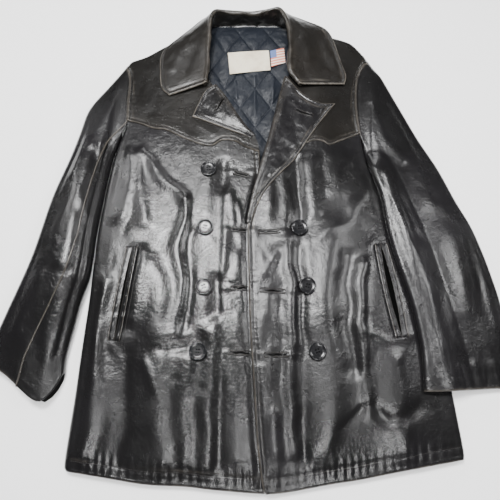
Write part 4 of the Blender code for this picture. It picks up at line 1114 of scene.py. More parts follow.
@dataclass(frozen=True)
class NylonFinish:
    """Dark quilted nylon with a fine weave."""

    name: str = "quilted_nylon"
    colour: tuple[float, float, float] = (0.0062, 0.0075, 0.0105)
    light: tuple[float, float, float] = (0.0125, 0.0150, 0.0205)

    def build(self) -> Material:
        """Makes the material."""
        sheet = ShaderSheet(self.name)
        weave = sheet.add("ShaderNodeTexWave", {"Vector": sheet.coordinates.outputs["Object"], "Scale": 620.0,
                                                "Distortion": 1.2}, bands_direction="DIAGONAL")
        fine = sheet.bump(weave.outputs["Fac"], 0.0001, 0.25)
        crumple = sheet.bump(sheet.noise(120.0, 5.0, 0.6, 0.8), 0.0016, 0.5, fine)
        sheet.set(Base_Color=sheet.mix(sheet.noise(40.0, 4.0), opaque(self.colour), opaque(self.light)),
                  Roughness=0.40, Normal=crumple)
        sheet.put(sheet.shader.inputs["Specular IOR Level"], 0.28)
        return sheet.material


@dataclass(frozen=True)
class WovenFinish:
    """A plain woven label."""

    name: str
    colour: tuple[float, float, float] = (0.66, 0.60, 0.47)
    soiled: tuple[float, float, float] = (0.50, 0.43, 0.32)

    def build(self) -> Material:
        """Makes the material."""
        sheet = ShaderSheet(self.name)
        blotches = sheet.spread(sheet.noise(45.0, 5.0), 0.42, 0.68, 0.0, 1.0)
        weave = sheet.add("ShaderNodeTexWave", {"Vector": sheet.coordinates.outputs["Object"], "Scale": 480.0,
                                                "Distortion": 0.4}, bands_direction="Y")
        sheet.set(Base_Color=sheet.mix(blotches, opaque(self.colour), opaque(self.soiled)), Roughness=0.8,
                  Normal=sheet.bump(weave.outputs["Fac"], 0.0002, 0.4))
        return sheet.material


@dataclass(frozen=True)
class StripedFinish:
    """A small tag with plain stripes and a blue corner."""

    name: str = "striped_tag"
    stripes: float = 6.0
    height: float = 0.037
    width: float = 0.028
    pale: tuple[float, float, float] = (0.60, 0.52, 0.46)
    red: tuple[float, float, float] = (0.48, 0.14, 0.09)
    blue: tuple[float, float, float] = (0.09, 0.13, 0.27)

    def build(self) -> Material:
        """Makes the material from the tag's own UV map."""
        sheet = ShaderSheet(self.name)
        place = sheet.add("ShaderNodeSeparateXYZ", {0: sheet.coordinates.outputs["UV"]})
        bands = sheet.math("FRACT", sheet.math("MULTIPLY", place.outputs[1], self.stripes / self.height), 0.0)
        striped = sheet.mix(sheet.math("GREATER_THAN", bands, 0.5), opaque(self.red), opaque(self.pale))
        corner = sheet.math("MULTIPLY", sheet.math("LESS_THAN", place.outputs[0], 0.45 * self.width),
                            sheet.math("LESS_THAN", place.outputs[1], 0.5 * self.height))
        sheet.set(Base_Color=sheet.mix(corner, striped, opaque(self.blue)), Roughness=0.8)
        return sheet.material


@dataclass(frozen=True)
class PlainFinish:
    """One colour with one gloss, a little mottled."""

    name: str
    colour: tuple[float, float, float]
    roughness: float
    bump: float = 0.0
    shine: float = 0.5

    def build(self) -> Material:
        """Makes the material."""
        sheet = ShaderSheet(self.name)
        sheet.set(Base_Color=opaque(self.colour), Roughness=self.roughness)
        sheet.put(sheet.shader.inputs["Specular IOR Level"], self.shine)
        if self.bump:
            sheet.set(Normal=sheet.bump(sheet.noise(260.0, 4.0), self.bump, 0.4))
        return sheet.material


@dataclass
class Finishes:
    """All the coat's materials."""

    leather: Material
    rubbed: Material
    yoke: Material
    collar: Material
    lining: Material
    label: Material
    tag: Material
    button: Material
    hole: Material
    thread: Material

    @classmethod
    def make(cls) -> "Finishes":
        """Makes every material once."""
        return cls(
            leather=LeatherFinish("black_leather").build(),
            rubbed=LeatherFinish("rubbed_seam", colour=(0.034, 0.030, 0.026), tint=(0.056, 0.049, 0.041)
                                 ).build(),
            yoke=LeatherFinish("yoke_leather", colour=(0.0066, 0.0061, 0.0056), tint=(0.0098, 0.0085, 0.0071)
                               ).build(),
            collar=LeatherFinish("collar_leather", colour=(0.0072, 0.0064, 0.0056),
                                 tint=(0.0115, 0.0094, 0.0074), smooth=0.24, dull=0.38).build(),
            lining=NylonFinish().build(),
            label=WovenFinish("cream_label").build(),
            tag=StripedFinish().build(),
            button=PlainFinish("black_button", (0.008, 0.008, 0.009), 0.2, 0.00006).build(),
            # near-black matt finish that stands in for shade: painted shade in the button holes, buttonhole
            # slits and pocket openings
            hole=PlainFinish("dark_slit", (0.002, 0.002, 0.002), 0.9, shine=0.0).build(),
            thread=PlainFinish("black_thread", (0.020, 0.017, 0.016), 0.5).build(),
        )


@dataclass
class Bench:
    """What every piece is made with: the materials, and the surfaces laid so far."""

    finishes: Finishes
    cover: Cover


# What follows a line


class LineSheet(NodeSheet):
    """A geometry tree that starts from lines of points."""

    def __init__(self, name: str, sizes: dict[str, float]) -> None:
        """Starts the tree and turns its lines into curves.

        Args:
            name: the tree's name.
            sizes: its inputs and their usual values, in metres.
        """
        super().__init__(bpy.data.node_groups.new(name, "GeometryNodeTree"))
        sockets = self.tree.interface
        sockets.new_socket("Geometry", in_out="INPUT", socket_type="NodeSocketGeometry")
        for label, value in sizes.items():
            sockets.new_socket(label, in_out="INPUT", socket_type="NodeSocketFloat").default_value = value
        sockets.new_socket("Geometry", in_out="OUTPUT", socket_type="NodeSocketGeometry")
        self.size = self.tree.nodes.new("NodeGroupInput").outputs
        self.curve = self.made("GeometryNodeMeshToCurve", {0: self.size["Geometry"]})

    def finish(self, geometry: Socket, material: Material) -> bpy.types.NodeTree:
        """Ends the tree with real geometry in its material, and gives the tree.

        Args:
            geometry: the geometry's socket.
            material: its material.

        Returns:
            The tree.
        """
        real = self.made("GeometryNodeRealizeInstances", {0: geometry})
        smooth = self.made("GeometryNodeSetShadeSmooth", {0: real})
        dressed = self.made("GeometryNodeSetMaterial", {0: smooth, "Material": material})
        self.add("NodeGroupOutput", {0: dressed})
        return self.tree


class LineWork:
    """Stitches and raised seams, made by geometry nodes along lines of points."""

    def __init__(self, finishes: Finishes) -> None:
        """Builds both node trees."""
        self.stitch_tree = self._stitch_tree(finishes.thread)
        self.seam_tree = self._seam_tree(finishes.rubbed)

    @staticmethod
    def _stitch_tree(thread: Material) -> bpy.types.NodeTree:
        """Builds the tree that lays stitches along a line.

        Args:
            thread: the stitches' material.

        Returns:
            The tree.
        """
        sheet = LineSheet("stitches", {"Pitch": 0.0034, "Length": 0.0026, "Thickness": 0.0008})
        even = sheet.made("GeometryNodeResampleCurve", mode="LENGTH",
                          inputs={"Curve": sheet.curve, "Length": sheet.size["Pitch"]})
        bead = sheet.made("GeometryNodeMeshUVSphere", {"Segments": 6, "Rings": 4, "Radius": 0.5})
        thick = sheet.size["Thickness"]
        size = sheet.made("ShaderNodeCombineXYZ", {0: sheet.size["Length"], 1: thick, 2: thick})
        turn = sheet.made("FunctionNodeAlignRotationToVector", axis="X",
                          inputs={"Vector": sheet.made("GeometryNodeInputTangent")})
        beads = sheet.made("GeometryNodeInstanceOnPoints",
                           {"Points": even, "Instance": bead, "Rotation": turn, "Scale": size})
        return sheet.finish(beads, thread)

    @staticmethod
    def _seam_tree(leather: Material) -> bpy.types.NodeTree:
        """Builds the tree that raises a rounded ridge along a line.

        Args:
            leather: the ridge's material.

        Returns:
            The tree.
        """
        sheet = LineSheet("raised_seam", {"Radius": 0.0011})
        profile = sheet.made("GeometryNodeCurvePrimitiveCircle",
                             {"Resolution": 8, "Radius": sheet.size["Radius"]})
        ridge = sheet.made("GeometryNodeCurveToMesh",
                           {"Curve": sheet.curve, "Profile Curve": profile, "Fill Caps": True})
        return sheet.finish(ridge, leather)

    def run(self, name: str, lines: Sequence[Array], tree: bpy.types.NodeTree,
            sizes: dict[str, float]) -> bpy.types.Object:
        """Runs a tree along lines and keeps the result as a plain mesh.

        Args:
            name: the piece's name.
            lines: points of each line, in millimetres.
            tree: the geometry tree.
            sizes: values for the tree's inputs, in metres.

        Returns:
            The piece.
        """
        points = np.vstack(lines)
        edges, base = [], 0
        for line in lines:
            edges += [(base + k, base + k + 1) for k in range(len(line) - 1)]
            base += len(line)
        mesh = bpy.data.meshes.new(name + "_line")
        mesh.from_pydata((points * MM).tolist(), edges, [])
        carrier = bpy.data.objects.new(name + "_line", mesh)
        bpy.context.scene.collection.objects.link(carrier)
        modifier = carrier.modifiers.new("line_work", "NODES")
        modifier.node_group = tree
        for item in tree.interface.items_tree:
            if item.item_type == "SOCKET" and item.in_out == "INPUT" and item.name in sizes:
                modifier[item.identifier] = sizes[item.name]
        graph = bpy.context.evaluated_depsgraph_get()
        made = bpy.data.meshes.new_from_object(carrier.evaluated_get(graph))
        made.name = name
        bpy.data.objects.remove(carrier, do_unlink=True)
        piece = bpy.data.objects.new(name, made)
        bpy.context.scene.collection.objects.link(piece)
        return add_trim(piece)

    def stitches(self, name: str, lines: Sequence[Array], pitch: float = 0.0034) -> bpy.types.Object:
        """Lays stitches along lines."""
        return self.run(name, lines, self.stitch_tree, {"Pitch": pitch, "Length": pitch * 0.74})

    def ridges(self, name: str, lines: Sequence[Array], radius: float) -> bpy.types.Object:
        """Raises ridges along lines."""
        return self.run(name, lines, self.seam_tree, {"Radius": radius})


# Panels


def lay_panel(bench: Bench, node: str, rolled: Array, body: Array, worn: Array,
              material: Material) -> Array:
    """Joins a panel to its rounded side, lays it on the back and adds it to the cover.

    Args:
        bench: what every piece is made with.
        node: the solid that it stands for.
        rolled: points of the rounded side.
        body: points of the panel.
        worn: how rubbed each of its points is.
        material: its finish.

    Returns:
        The grid of outer points.
    """
    grid = np.concatenate([rolled, body], axis=1)
    wear = np.concatenate([np.zeros(rolled.shape[:2]), worn], axis=1)
    bench.cover.add(grid)
    wall = ClothWall(f"{node}_leather", grid, LEATHER, (len(grid) // 2, 40, 1), np.clip(wear, 0, 1))
    lay(wall, material, [node])
    return grid


@dataclass
class Front:
    """A front below its yoke, from the side seam across to the front edge."""

    side: Side
    outline: Points
    hem: Points
    edge: Points
    seam: Points
    roll: float
    height: Height
    corner: float = 0.055
    seam_drop: float = 1.5

    def build(self, bench: Bench) -> Array:
        """Builds the front and adds it to the cover.

        Args:
            bench: what every piece is made with.

        Returns:
            The grid of outer points.
        """
        row_shares = fine_shares(line_length(self.outline), True, True)
        width = abs(self.hem[0][0] - self.hem[-1][0])
        column_shares = fine_shares(width, False, True)
        outline = on_line(self.outline, row_shares)
        free_edge = on_line(self.edge, row_shares)
        inner = outline + inward_normals(outline, free_edge) * self.roll
        start = on_line(self.hem, self.roll / width + (1 - self.roll / width) * column_shares)
        end = on_line(self.seam, 0.02 + 0.98 * column_shares)
        inner = pinned(inner, start[0], end[0], row_shares, self.corner)
        down = np.clip(1 - (1 - row_shares) / self.corner, 0, 1) * SEAM_GAP * self.seam_drop
        end[:, 1] -= SEAM_GAP * self.seam_drop
        for line in (inner, outline, free_edge):
            line[:, 1] -= down
        plan = coons(inner, free_edge, start, end, row_shares, column_shares)
        body = np.dstack([plan, self.height(plan[..., 0], plan[..., 1])])
        amount = np.clip((1 - row_shares) / self.corner, 0, 1)
        from_edge, from_hem = distance_from(plan, 1, True), distance_from(plan, 0, False)
        from_seam = distance_from(plan, 0, True)
        up, across = plan[..., 1], plan[..., 0]
        body[..., 2] += FRONT_EDGE.relief(from_edge, up) + HEM.relief(from_hem, across)
        body[..., 2] += UNDER_SEAM.relief(from_seam, across)
        worn = FRONT_EDGE.wear(from_edge, up, 0.6) + HEM.wear(from_hem, across, 0.35)
        rolled = rolled_columns(outline, inner, BODY_SEAM_Z + SEAM_GAP, body[:, 0, 2], amount)
        return lay_panel(bench, f"front_{self.side.value}", rolled, body, worn, bench.finishes.leather)


@dataclass
class Yoke:
    """A front yoke, from the shoulder down to its wavy seam."""

    side: Side
    shoulder: Points
    seam: Points
    armhole: Points
    neck: Points
    yoke_share: float
    height: Height
    width: float = 170.0
    corner: float = 0.077

    def build(self, bench: Bench) -> Array:
        """Builds the yoke and adds it to the cover.

        Args:
            bench: what every piece is made with.

        Returns:
            The grid of outer points.
        """
        row_shares = fine_shares(line_length(self.shoulder), True, False)
        column_shares = fine_shares(self.width, False, True)
        outline = on_line(self.shoulder, row_shares)
        low_edge = on_line(self.seam, row_shares)
        inner = outline + inward_normals(outline, low_edge) * SHOULDER_ROLL
        down = tuple(reversed(self.armhole))
        start = on_line(down, ARMHOLE_TIP + (self.yoke_share - ARMHOLE_TIP) * column_shares)
        end = on_line(self.neck, 0.04 + 0.96 * column_shares)
        inner = pinned(inner, start[0], end[0], row_shares, self.corner)
        plan = coons(inner, low_edge, start, end, row_shares, column_shares)
        body = np.dstack([plan, self.height(plan[..., 0], plan[..., 1])])
        from_seam, from_armhole = distance_from(plan, 1, True), distance_from(plan, 0, False)
        along = distance_from(plan, 0, False)
        body[..., 2] += YOKE_EDGE.relief(from_seam, along) + ARMHOLE_EDGE.relief(from_armhole, plan[..., 1])
        worn = YOKE_EDGE.wear(from_seam, along, 0.6) + ARMHOLE_EDGE.wear(from_armhole, plan[..., 1], 0.4)
        rolled = rolled_columns(outline, inner, LEATHER + SEAM_GAP, body[:, 0, 2], np.ones(len(row_shares)))
        return lay_panel(bench, f"yoke_{self.side.value}", rolled, body, worn, bench.finishes.yoke)


@dataclass
class Back:
    """The back, flat on the floor, curled up at its sides."""

    columns: int = 36
    side_rows: int = 60
    armhole_rows: int = 26
    shoulder_rows: int = 14

    def build(self, bench: Bench) -> None:
        """Builds the back.

        Args:
            bench: what every piece is made with.
        """
        edges = []
        for side, armhole, shoulder in ((SIDE_R, ARMHOLE_R, SHOULDER_R), (SIDE_L, ARMHOLE_L, SHOULDER_L)):
            edges.append(np.vstack([on_line(side, np.linspace(0, 1, self.side_rows + 1))[:-1],
                                    on_line(armhole, np.linspace(0, 1, self.armhole_rows + 1))[:-1],
                                    on_line(shoulder, np.linspace(0, 1, self.shoulder_rows + 1))]))
        edge_a, edge_b = edges
        rows = len(edge_a)
        row_shares, column_shares = np.linspace(0, 1, rows), np.linspace(0, 1, self.columns)
        inner_a, inner_b = edge_a + np.array([BACK_ROLL, 0.0]), edge_b - np.array([BACK_ROLL, 0.0])
        hem = [*HEM_R[:-1], (22, -450), *reversed(HEM_L[:-1])]
        start, end = on_line(hem, column_shares), on_line(BACK_NECK, column_shares)
        start[0], start[-1], end[0], end[-1] = inner_a[0], inner_b[0], inner_a[-1], inner_b[-1]
        plan = coons(inner_a, inner_b, start, end, row_shares, column_shares)
        body = np.dstack([plan, np.zeros(plan.shape[:2])])
        amount = np.clip((self.side_rows - np.arange(rows)) / 5.0, 0, 1)
        flat = np.zeros(rows)
        curl_a = rolled_columns(edge_a, inner_a, BODY_SEAM_Z, flat, amount)
        curl_b = rolled_columns(edge_b, inner_b, BODY_SEAM_Z, flat, amount)[:, ::-1]
        grid = np.concatenate([curl_a, body, curl_b], axis=1)
        wall = ClothWall("back_leather", grid, LEATHER, (20, 24, -1), one_way=True)
        lay(wall, bench.finishes.leather, ["back"])


def body_side_samples() -> Array:
    """Gives points of the body's left side that the left sleeve has to clear."""
    samples = []
    for y in np.arange(-330.0, LIES_ON_BELOW_Y, 6.0):
        edge = float(FORM.side_x(SIDE_L, y))
        inside = np.arange(0.0, 75.0, 5.0)
        x = edge - np.maximum(inside, ROLL_L)
        top = FORM.left_height(x, np.full_like(x, y))
        rise = np.sin(np.arccos(1 - np.minimum(inside, ROLL_L) / ROLL_L))
        z = BODY_SEAM_Z + (top - BODY_SEAM_Z) * rise
        samples.append(np.column_stack([edge - inside, np.full_like(x, y), z]))
    return np.vstack(samples)


def lies_on(plan: Array, samples: Array) -> Array:
    """Gives the underside of the left sleeve, over the body's side and down to the floor.

    Args:
        plan: plan points of the sleeve.
        samples: points of the body's side.

    Returns:
        Heights in millimetres.
    """
    low = np.zeros(plan.shape[:2])
    for r, row in enumerate(plan):
        away = np.hypot(row[:, None, 0] - samples[None, :, 0], row[:, None, 1] - samples[None, :, 1])
        need = samples[None, :, 2] + LIE_CLEARANCE - LIE_SLOPE * np.maximum(away - LIE_FLAT, 0.0)
        low[r] = np.maximum(need.max(axis=1), 0.0)
    return low


@dataclass
class Sleeve:
    """A flattened sleeve of two pieces: the top sleeve and the under sleeve."""

    side: Side
    outer: Points
    inner: Points
    cuff: Points
    armhole: Points
    heights: Points
    roll: float
    seam_shares: Points | None
    low_share: float
    columns: int = 44
    under_columns: int = 12
    around_seam: tuple[int, int] = (30, 13)
    step: float = 3.8
    corner: float = 1 / 15
    cuff_from: float = 0.08
    cuff_over: float = 0.84
    line_sway: float = 3.0
    fold_share: float = 0.55
    crease_share: float = 0.3
    dents: float = 0.55

    def _underside(self, plan: Array, samples: Array) -> Array:
        """Gives the height of the sleeve's underside."""
        return lies_on(plan, samples) if self.side is Side.LEFT else np.zeros(plan.shape[:2])

    def _moved(self, plan: Array, row_shares: Array, column_shares: Array,
               above: tuple[int, int]) -> tuple[Array, Array]:
        """Moves the columns so that one of them follows the front seam.

        Args:
            plan: plan points.
            row_shares: how far along each row lies.
            column_shares: how far across each column lies.
            above: how many steps lie before the seam and after it.

        Returns:
            The moved plan points and their shares across.
        """
        moved, shares = plan.copy(), np.zeros(plan.shape[:2])
        for r, share in enumerate(row_shares):
            seam = read_table(self.seam_shares, share, 1)
            shares[r] = np.concatenate([np.linspace(0, seam, above[0] + 1),
                                        np.linspace(seam, 1, above[1] + 1)[1:]])
            for k in range(2):
                moved[r, :, k] = np.interp(shares[r], column_shares, plan[r, :, k])
        return moved, shares

    def build(self, bench: Bench) -> tuple[Array, Array]:
        """Builds both pieces and adds the upper one to the cover.

        Args:
            bench: what every piece is made with.

        Returns:
            The outer points of the top sleeve, and those of its front seam.
        """
        samples = body_side_samples() if self.side is Side.LEFT else np.zeros((0, 3))
        count = self.columns
        row_shares = fine_shares(line_length(self.outer), True, True, self.step)
        down = tuple(reversed(self.armhole))
        upper_joint = on_line(down, np.linspace(ARMHOLE_TIP, self.low_share, count))
        joint = np.vstack([[down[0]], upper_joint, [down[-1]]])
        away = -inward_normals(joint, np.array([BODY_CENTRE]))
        joint = joint + away * ARMHOLE_GAP
        edge_a = on_line((tuple(joint[0]), *self.outer[1:]), row_shares)
        edge_b = on_line((tuple(joint[-1]), *self.inner[1:]), row_shares)
        middle = (edge_a + edge_b) / 2
        start = joint[1:-1]
        column_shares = np.linspace(0, 1, count)
        end = on_line(self.cuff, self.cuff_from + self.cuff_over * column_shares)
        span = self.corner
        side_a = edge_a + inward_normals(edge_a, middle) * self.roll
        side_b = edge_b + inward_normals(edge_b, middle) * self.roll
        inner_a = pinned(side_a, start[0], end[0], row_shares, span)
        inner_b = pinned(side_b, start[-1], end[-1], row_shares, span)
        plan = coons(inner_a, inner_b, start, end, row_shares, column_shares, fade=3)
        shares = np.repeat(column_shares[None, :], len(row_shares), axis=0)
        low_shares = np.linspace(0, 1, self.under_columns)
        chord = joint[-1] - joint[0]
        set_back = inward_normals(joint[[0, -1]], joint[[0, -1]] + away[0])[0]
        low_along = np.linspace(*UNDER_SHARES, self.under_columns)[:, None]
        low_start = joint[0] + low_along * (chord + UNDER_SET_BACK * set_back)
        low_end = on_line(self.cuff, self.cuff_from + self.cuff_over * low_shares)
        low_a = pinned(side_a, low_start[0], low_end[0], row_shares, span)
        low_b = pinned(side_b, low_start[-1], low_end[-1], row_shares, span)
        low_plan = coons(low_a, low_b, low_start, low_end, row_shares, low_shares, fade=3)
        low = self._underside(low_plan, samples)
        lower = np.dstack([low_plan, low])
        above = self.around_seam
        if self.seam_shares:
            plan, shares = self._moved(plan, row_shares, column_shares, above)
        upper = np.dstack([plan, self._top(plan, shares, row_shares, samples)])
        top = upper[..., 2]
        ones = np.ones(len(row_shares))
        seam_a = low[:, 0] + (0.16 + 0.26 * ease(row_shares * 4)) * (top[:, 0] - low[:, 0])
        seam_b = low[:, -1] + 0.42 * (top[:, -1] - low[:, -1])
        up_a = rolled_columns(edge_a, inner_a, seam_a + SEAM_GAP, top[:, 0], ones)
        down_a = rolled_columns(edge_a, low_a, seam_a, low[:, 0], ones)
        gap_b = 0 if self.seam_shares else SEAM_GAP
        up_b = rolled_columns(edge_b, inner_b, seam_b + gap_b, top[:, -1], ones)
        down_b = rolled_columns(edge_b, low_b, seam_b, low[:, -1], ones)
        rows = len(row_shares)
        split = above[0] + 1
        if self.seam_shares:
            top_grid = np.concatenate([up_a, upper[:, :split]], axis=1)
            beyond = upper[:, split - 1:].copy()
            beyond[:, 0, :2] += inward_normals(upper[:, split - 1, :2], upper[:, split, :2]) * SEAM_GAP
            under = np.concatenate([beyond, up_b[:, ::-1], down_b[:, 1:], lower[:, ::-1], down_a[:, ::-1]],
                                   axis=1)
            probe = (rows // 2, under.shape[1] - len(ROLL_ANGLES) - 5, -1)
            bench.cover.add(beyond)
            seam = upper[:, split - 1]
        else:
            top_grid = np.concatenate([up_a, upper, up_b[:, ::-1]], axis=1)
            under = np.concatenate([down_b, lower[:, ::-1], down_a[:, ::-1]], axis=1)
            probe = (rows // 2, len(ROLL_ANGLES) + 5, -1)
            seam = up_b[:, 0]
        bench.cover.add(top_grid)
        name = f"sleeve_{self.side.value}"
        wear = np.zeros(top_grid.shape[:2])
        wear += 0.35 * np.exp(-(distance_from(top_grid, 0, True) / 3.0) ** 2)
        wear += 0.3 * np.exp(-(distance_from(top_grid, 0, False) / 3.0) ** 2)
        top_wall = ClothWall(f"{name}_top_leather", top_grid, LEATHER, (rows // 2, 16, 1), wear)
        lay(top_wall, bench.finishes.leather, [f"{name}_top"])
        under_wall = ClothWall(f"{name}_under_leather", under, LEATHER, probe)
        lay(under_wall, bench.finishes.leather, [f"{name}_under"])
        return top_grid, seam

    def _top(self, plan: Array, shares: Array, row_shares: Array, samples: Array
             ) -> Array:
        """Gives the height of the sleeve's upper surface.

        Args:
            plan: plan points.
            shares: how far across each point lies.
            row_shares: how far along each row lies.
            samples: points of the body's side that the sleeve clears.

        Returns:
            Heights in millimetres.
        """
        x, y = plan[..., 0], plan[..., 1]
        edge_h = read_table(self.heights, row_shares, 1)[:, None]
        crown_h = read_table(self.heights, row_shares, 2)[:, None]
        inside = ease(np.minimum(shares, 1 - shares) * 6)
        own = self._underside(plan, samples) + edge_h + (crown_h - edge_h) * (1 - (2 * shares - 1) ** 2)
        creases = self.fold_share * swayed(x, y, FORM.sway, SLEEVE_FOLDS)
        creases += (self.crease_share * swayed(x, y, FORM.sway, SLEEVE_CREASES)
                    + swayed(x, y, self.line_sway, SLEEVE_LINES))
        own += inside * (creases + self.dents * SLEEVE_DENTS.at(x, y) + 0.07 * WRINKLES.at(x, y))
        join = FORM.height(plan[0, :, 0], plan[0, :, 1])[None, :]
        blend = ease(row_shares / SLEEVE_START_BLEND)[:, None]
        top = join * (1 - blend) + own * blend
        top += ARMHOLE_EDGE.relief(distance_from(plan, 0, False), y) * inside
        top += PLAIN_EDGE.relief(distance_from(plan, 0, True), x)
        return top


@dataclass
class Lapel:
    """A lapel folded back on its front, rolled along the rim of the neck opening."""

    side: Side
    rim: Points
    neck: Points
    fold: tuple[float, float]
    edge: Points
    top: Points
    wrinkle: float
    width: float = 90.0
    roll_angles: tuple[float, float] = (-90, 66)
    roll_columns: int = 10
    foot_sink: float = 3.0
    foot_reach: float = 14.0

    def build(self, bench: Bench) -> Array:
        """Builds the lapel and adds it to the cover.

        Args:
            bench: what every piece is made with.

        Returns:
            The grid of outer points.
        """
        rim = np.vstack([on_line(self.rim, np.linspace(0, 1, 80)), on_line(self.neck, np.linspace(1, 0, 80))])
        row_shares = fine_shares(line_length(self.edge), True, True)
        over = fine_shares(self.width, False, True)
        rows = len(row_shares)
        fold_y = self.fold[0] + (self.fold[1] - self.fold[0]) * row_shares
        fold_line = np.column_stack([np.interp(fold_y, rim[:, 1], rim[:, 0]), fold_y])
        free_edge = on_line(self.edge, row_shares)
        start = fold_line[0] + (free_edge[0] - fold_line[0]) * over[:, None]
        end = on_line((tuple(fold_line[-1]), *self.top[1:]), over)
        plan = coons(fold_line, free_edge, start, end, row_shares, over)
        into_neck = -inward_normals(fold_line, free_edge)
        radius = LEATHER + FOLD_INSIDE_FOOT + (FOLD_INSIDE_TOP - FOLD_INSIDE_FOOT) * ease(row_shares * 2.5)
        angles = np.radians(np.linspace(*self.roll_angles, self.roll_columns))
        flat = np.zeros((rows, len(angles) + len(over), 3))
        flat[:, len(angles):, :2] = plan
        for r in range(rows):
            inside = fold_line[r] - into_neck[r] * 1.5
            centre_z = bench.cover.height(*inside, reach=1.0) - LEATHER + radius[r]
            reach = radius[r] * np.cos(angles) + FOLD_GAP * np.clip(np.cos(angles), 0.35, 1)
            flat[r, :len(angles), :2] = fold_line[r] + into_neck[r] * reach[:, None]
            flat[r, :len(angles), 2] = centre_z + radius[r] * np.sin(angles)
            lift = (2 * radius[r] - LEATHER) * (1 - ease(over * 1.15))
            lift = lift + (LEATHER + LAPEL_EDGE_LIFT) * ease(over)
            ground = np.array([bench.cover.height(x, y) for x, y in plan[r]])
            flat[r, len(angles):, 2] = ground + np.maximum(lift, LEATHER + REST_GAP)
            flat[r, len(angles), 2] = max(flat[r, len(angles), 2], centre_z + radius[r])
        return self._dress(flat, plan, len(angles), bench)

    def _dress(self, grid: Array, plan: Array, rolled: int, bench: Bench) -> Array:
        """Adds the wrinkles and the sewn edge, and lays the lapel.

        Args:
            grid: the plain outer points.
            plan: plan points of the part that lies over the front.
            rolled: how many columns belong to the roll.
            bench: what every piece is made with.

        Returns:
            The finished outer points.
        """
        rows = len(grid)
        smooth = smoothed(grid[:, rolled:, 2], 3)
        from_edge = np.minimum(distance_from(plan, 1, True), distance_from(plan, 0, True))
        along = distance_from(plan, 0, False)
        x, y = plan[..., 0], plan[..., 1]
        held = ease(from_edge / 14.0) * ease(distance_from(plan, 1, False) / 16.0)
        wrinkles = self.wrinkle * LAPEL_WRINKLES.at(x, y) + 0.16 * WRINKLES.at(x, y)
        relief = TURNED_EDGE.relief(from_edge, along)
        grid[:, rolled:, 2] = smooth + held * (wrinkles + 0.5 * self.wrinkle) + relief
        from_foot = distance_from(grid, 0, False)
        grid[..., 2] -= self.foot_sink * (1 - ease(from_foot / self.foot_reach))
        wear = np.zeros(grid.shape[:2])
        wear[:, rolled:] = TURNED_EDGE.wear(from_edge, along, 0.85)
        wear[:, :rolled] = 0.04
        bend = grid[:, 5:rolled + 3]
        wear[:, 5:rolled + 3] += 0.10 * (0.5 + 0.5 * RUB.at(bend[..., 0], bend[..., 1]))
        wear *= 0.25 + 0.75 * ease(from_foot / (2 * self.foot_reach))
        bench.cover.add(grid[:, rolled // 2:])
        node = f"lapel_{self.side.value}"
        wall = ClothWall(f"{node}_leather", grid, LEATHER, (rows // 2, rolled + 12, 1), np.clip(wear, 0, 1))
        lay(wall, bench.finishes.leather, [node])
        return grid


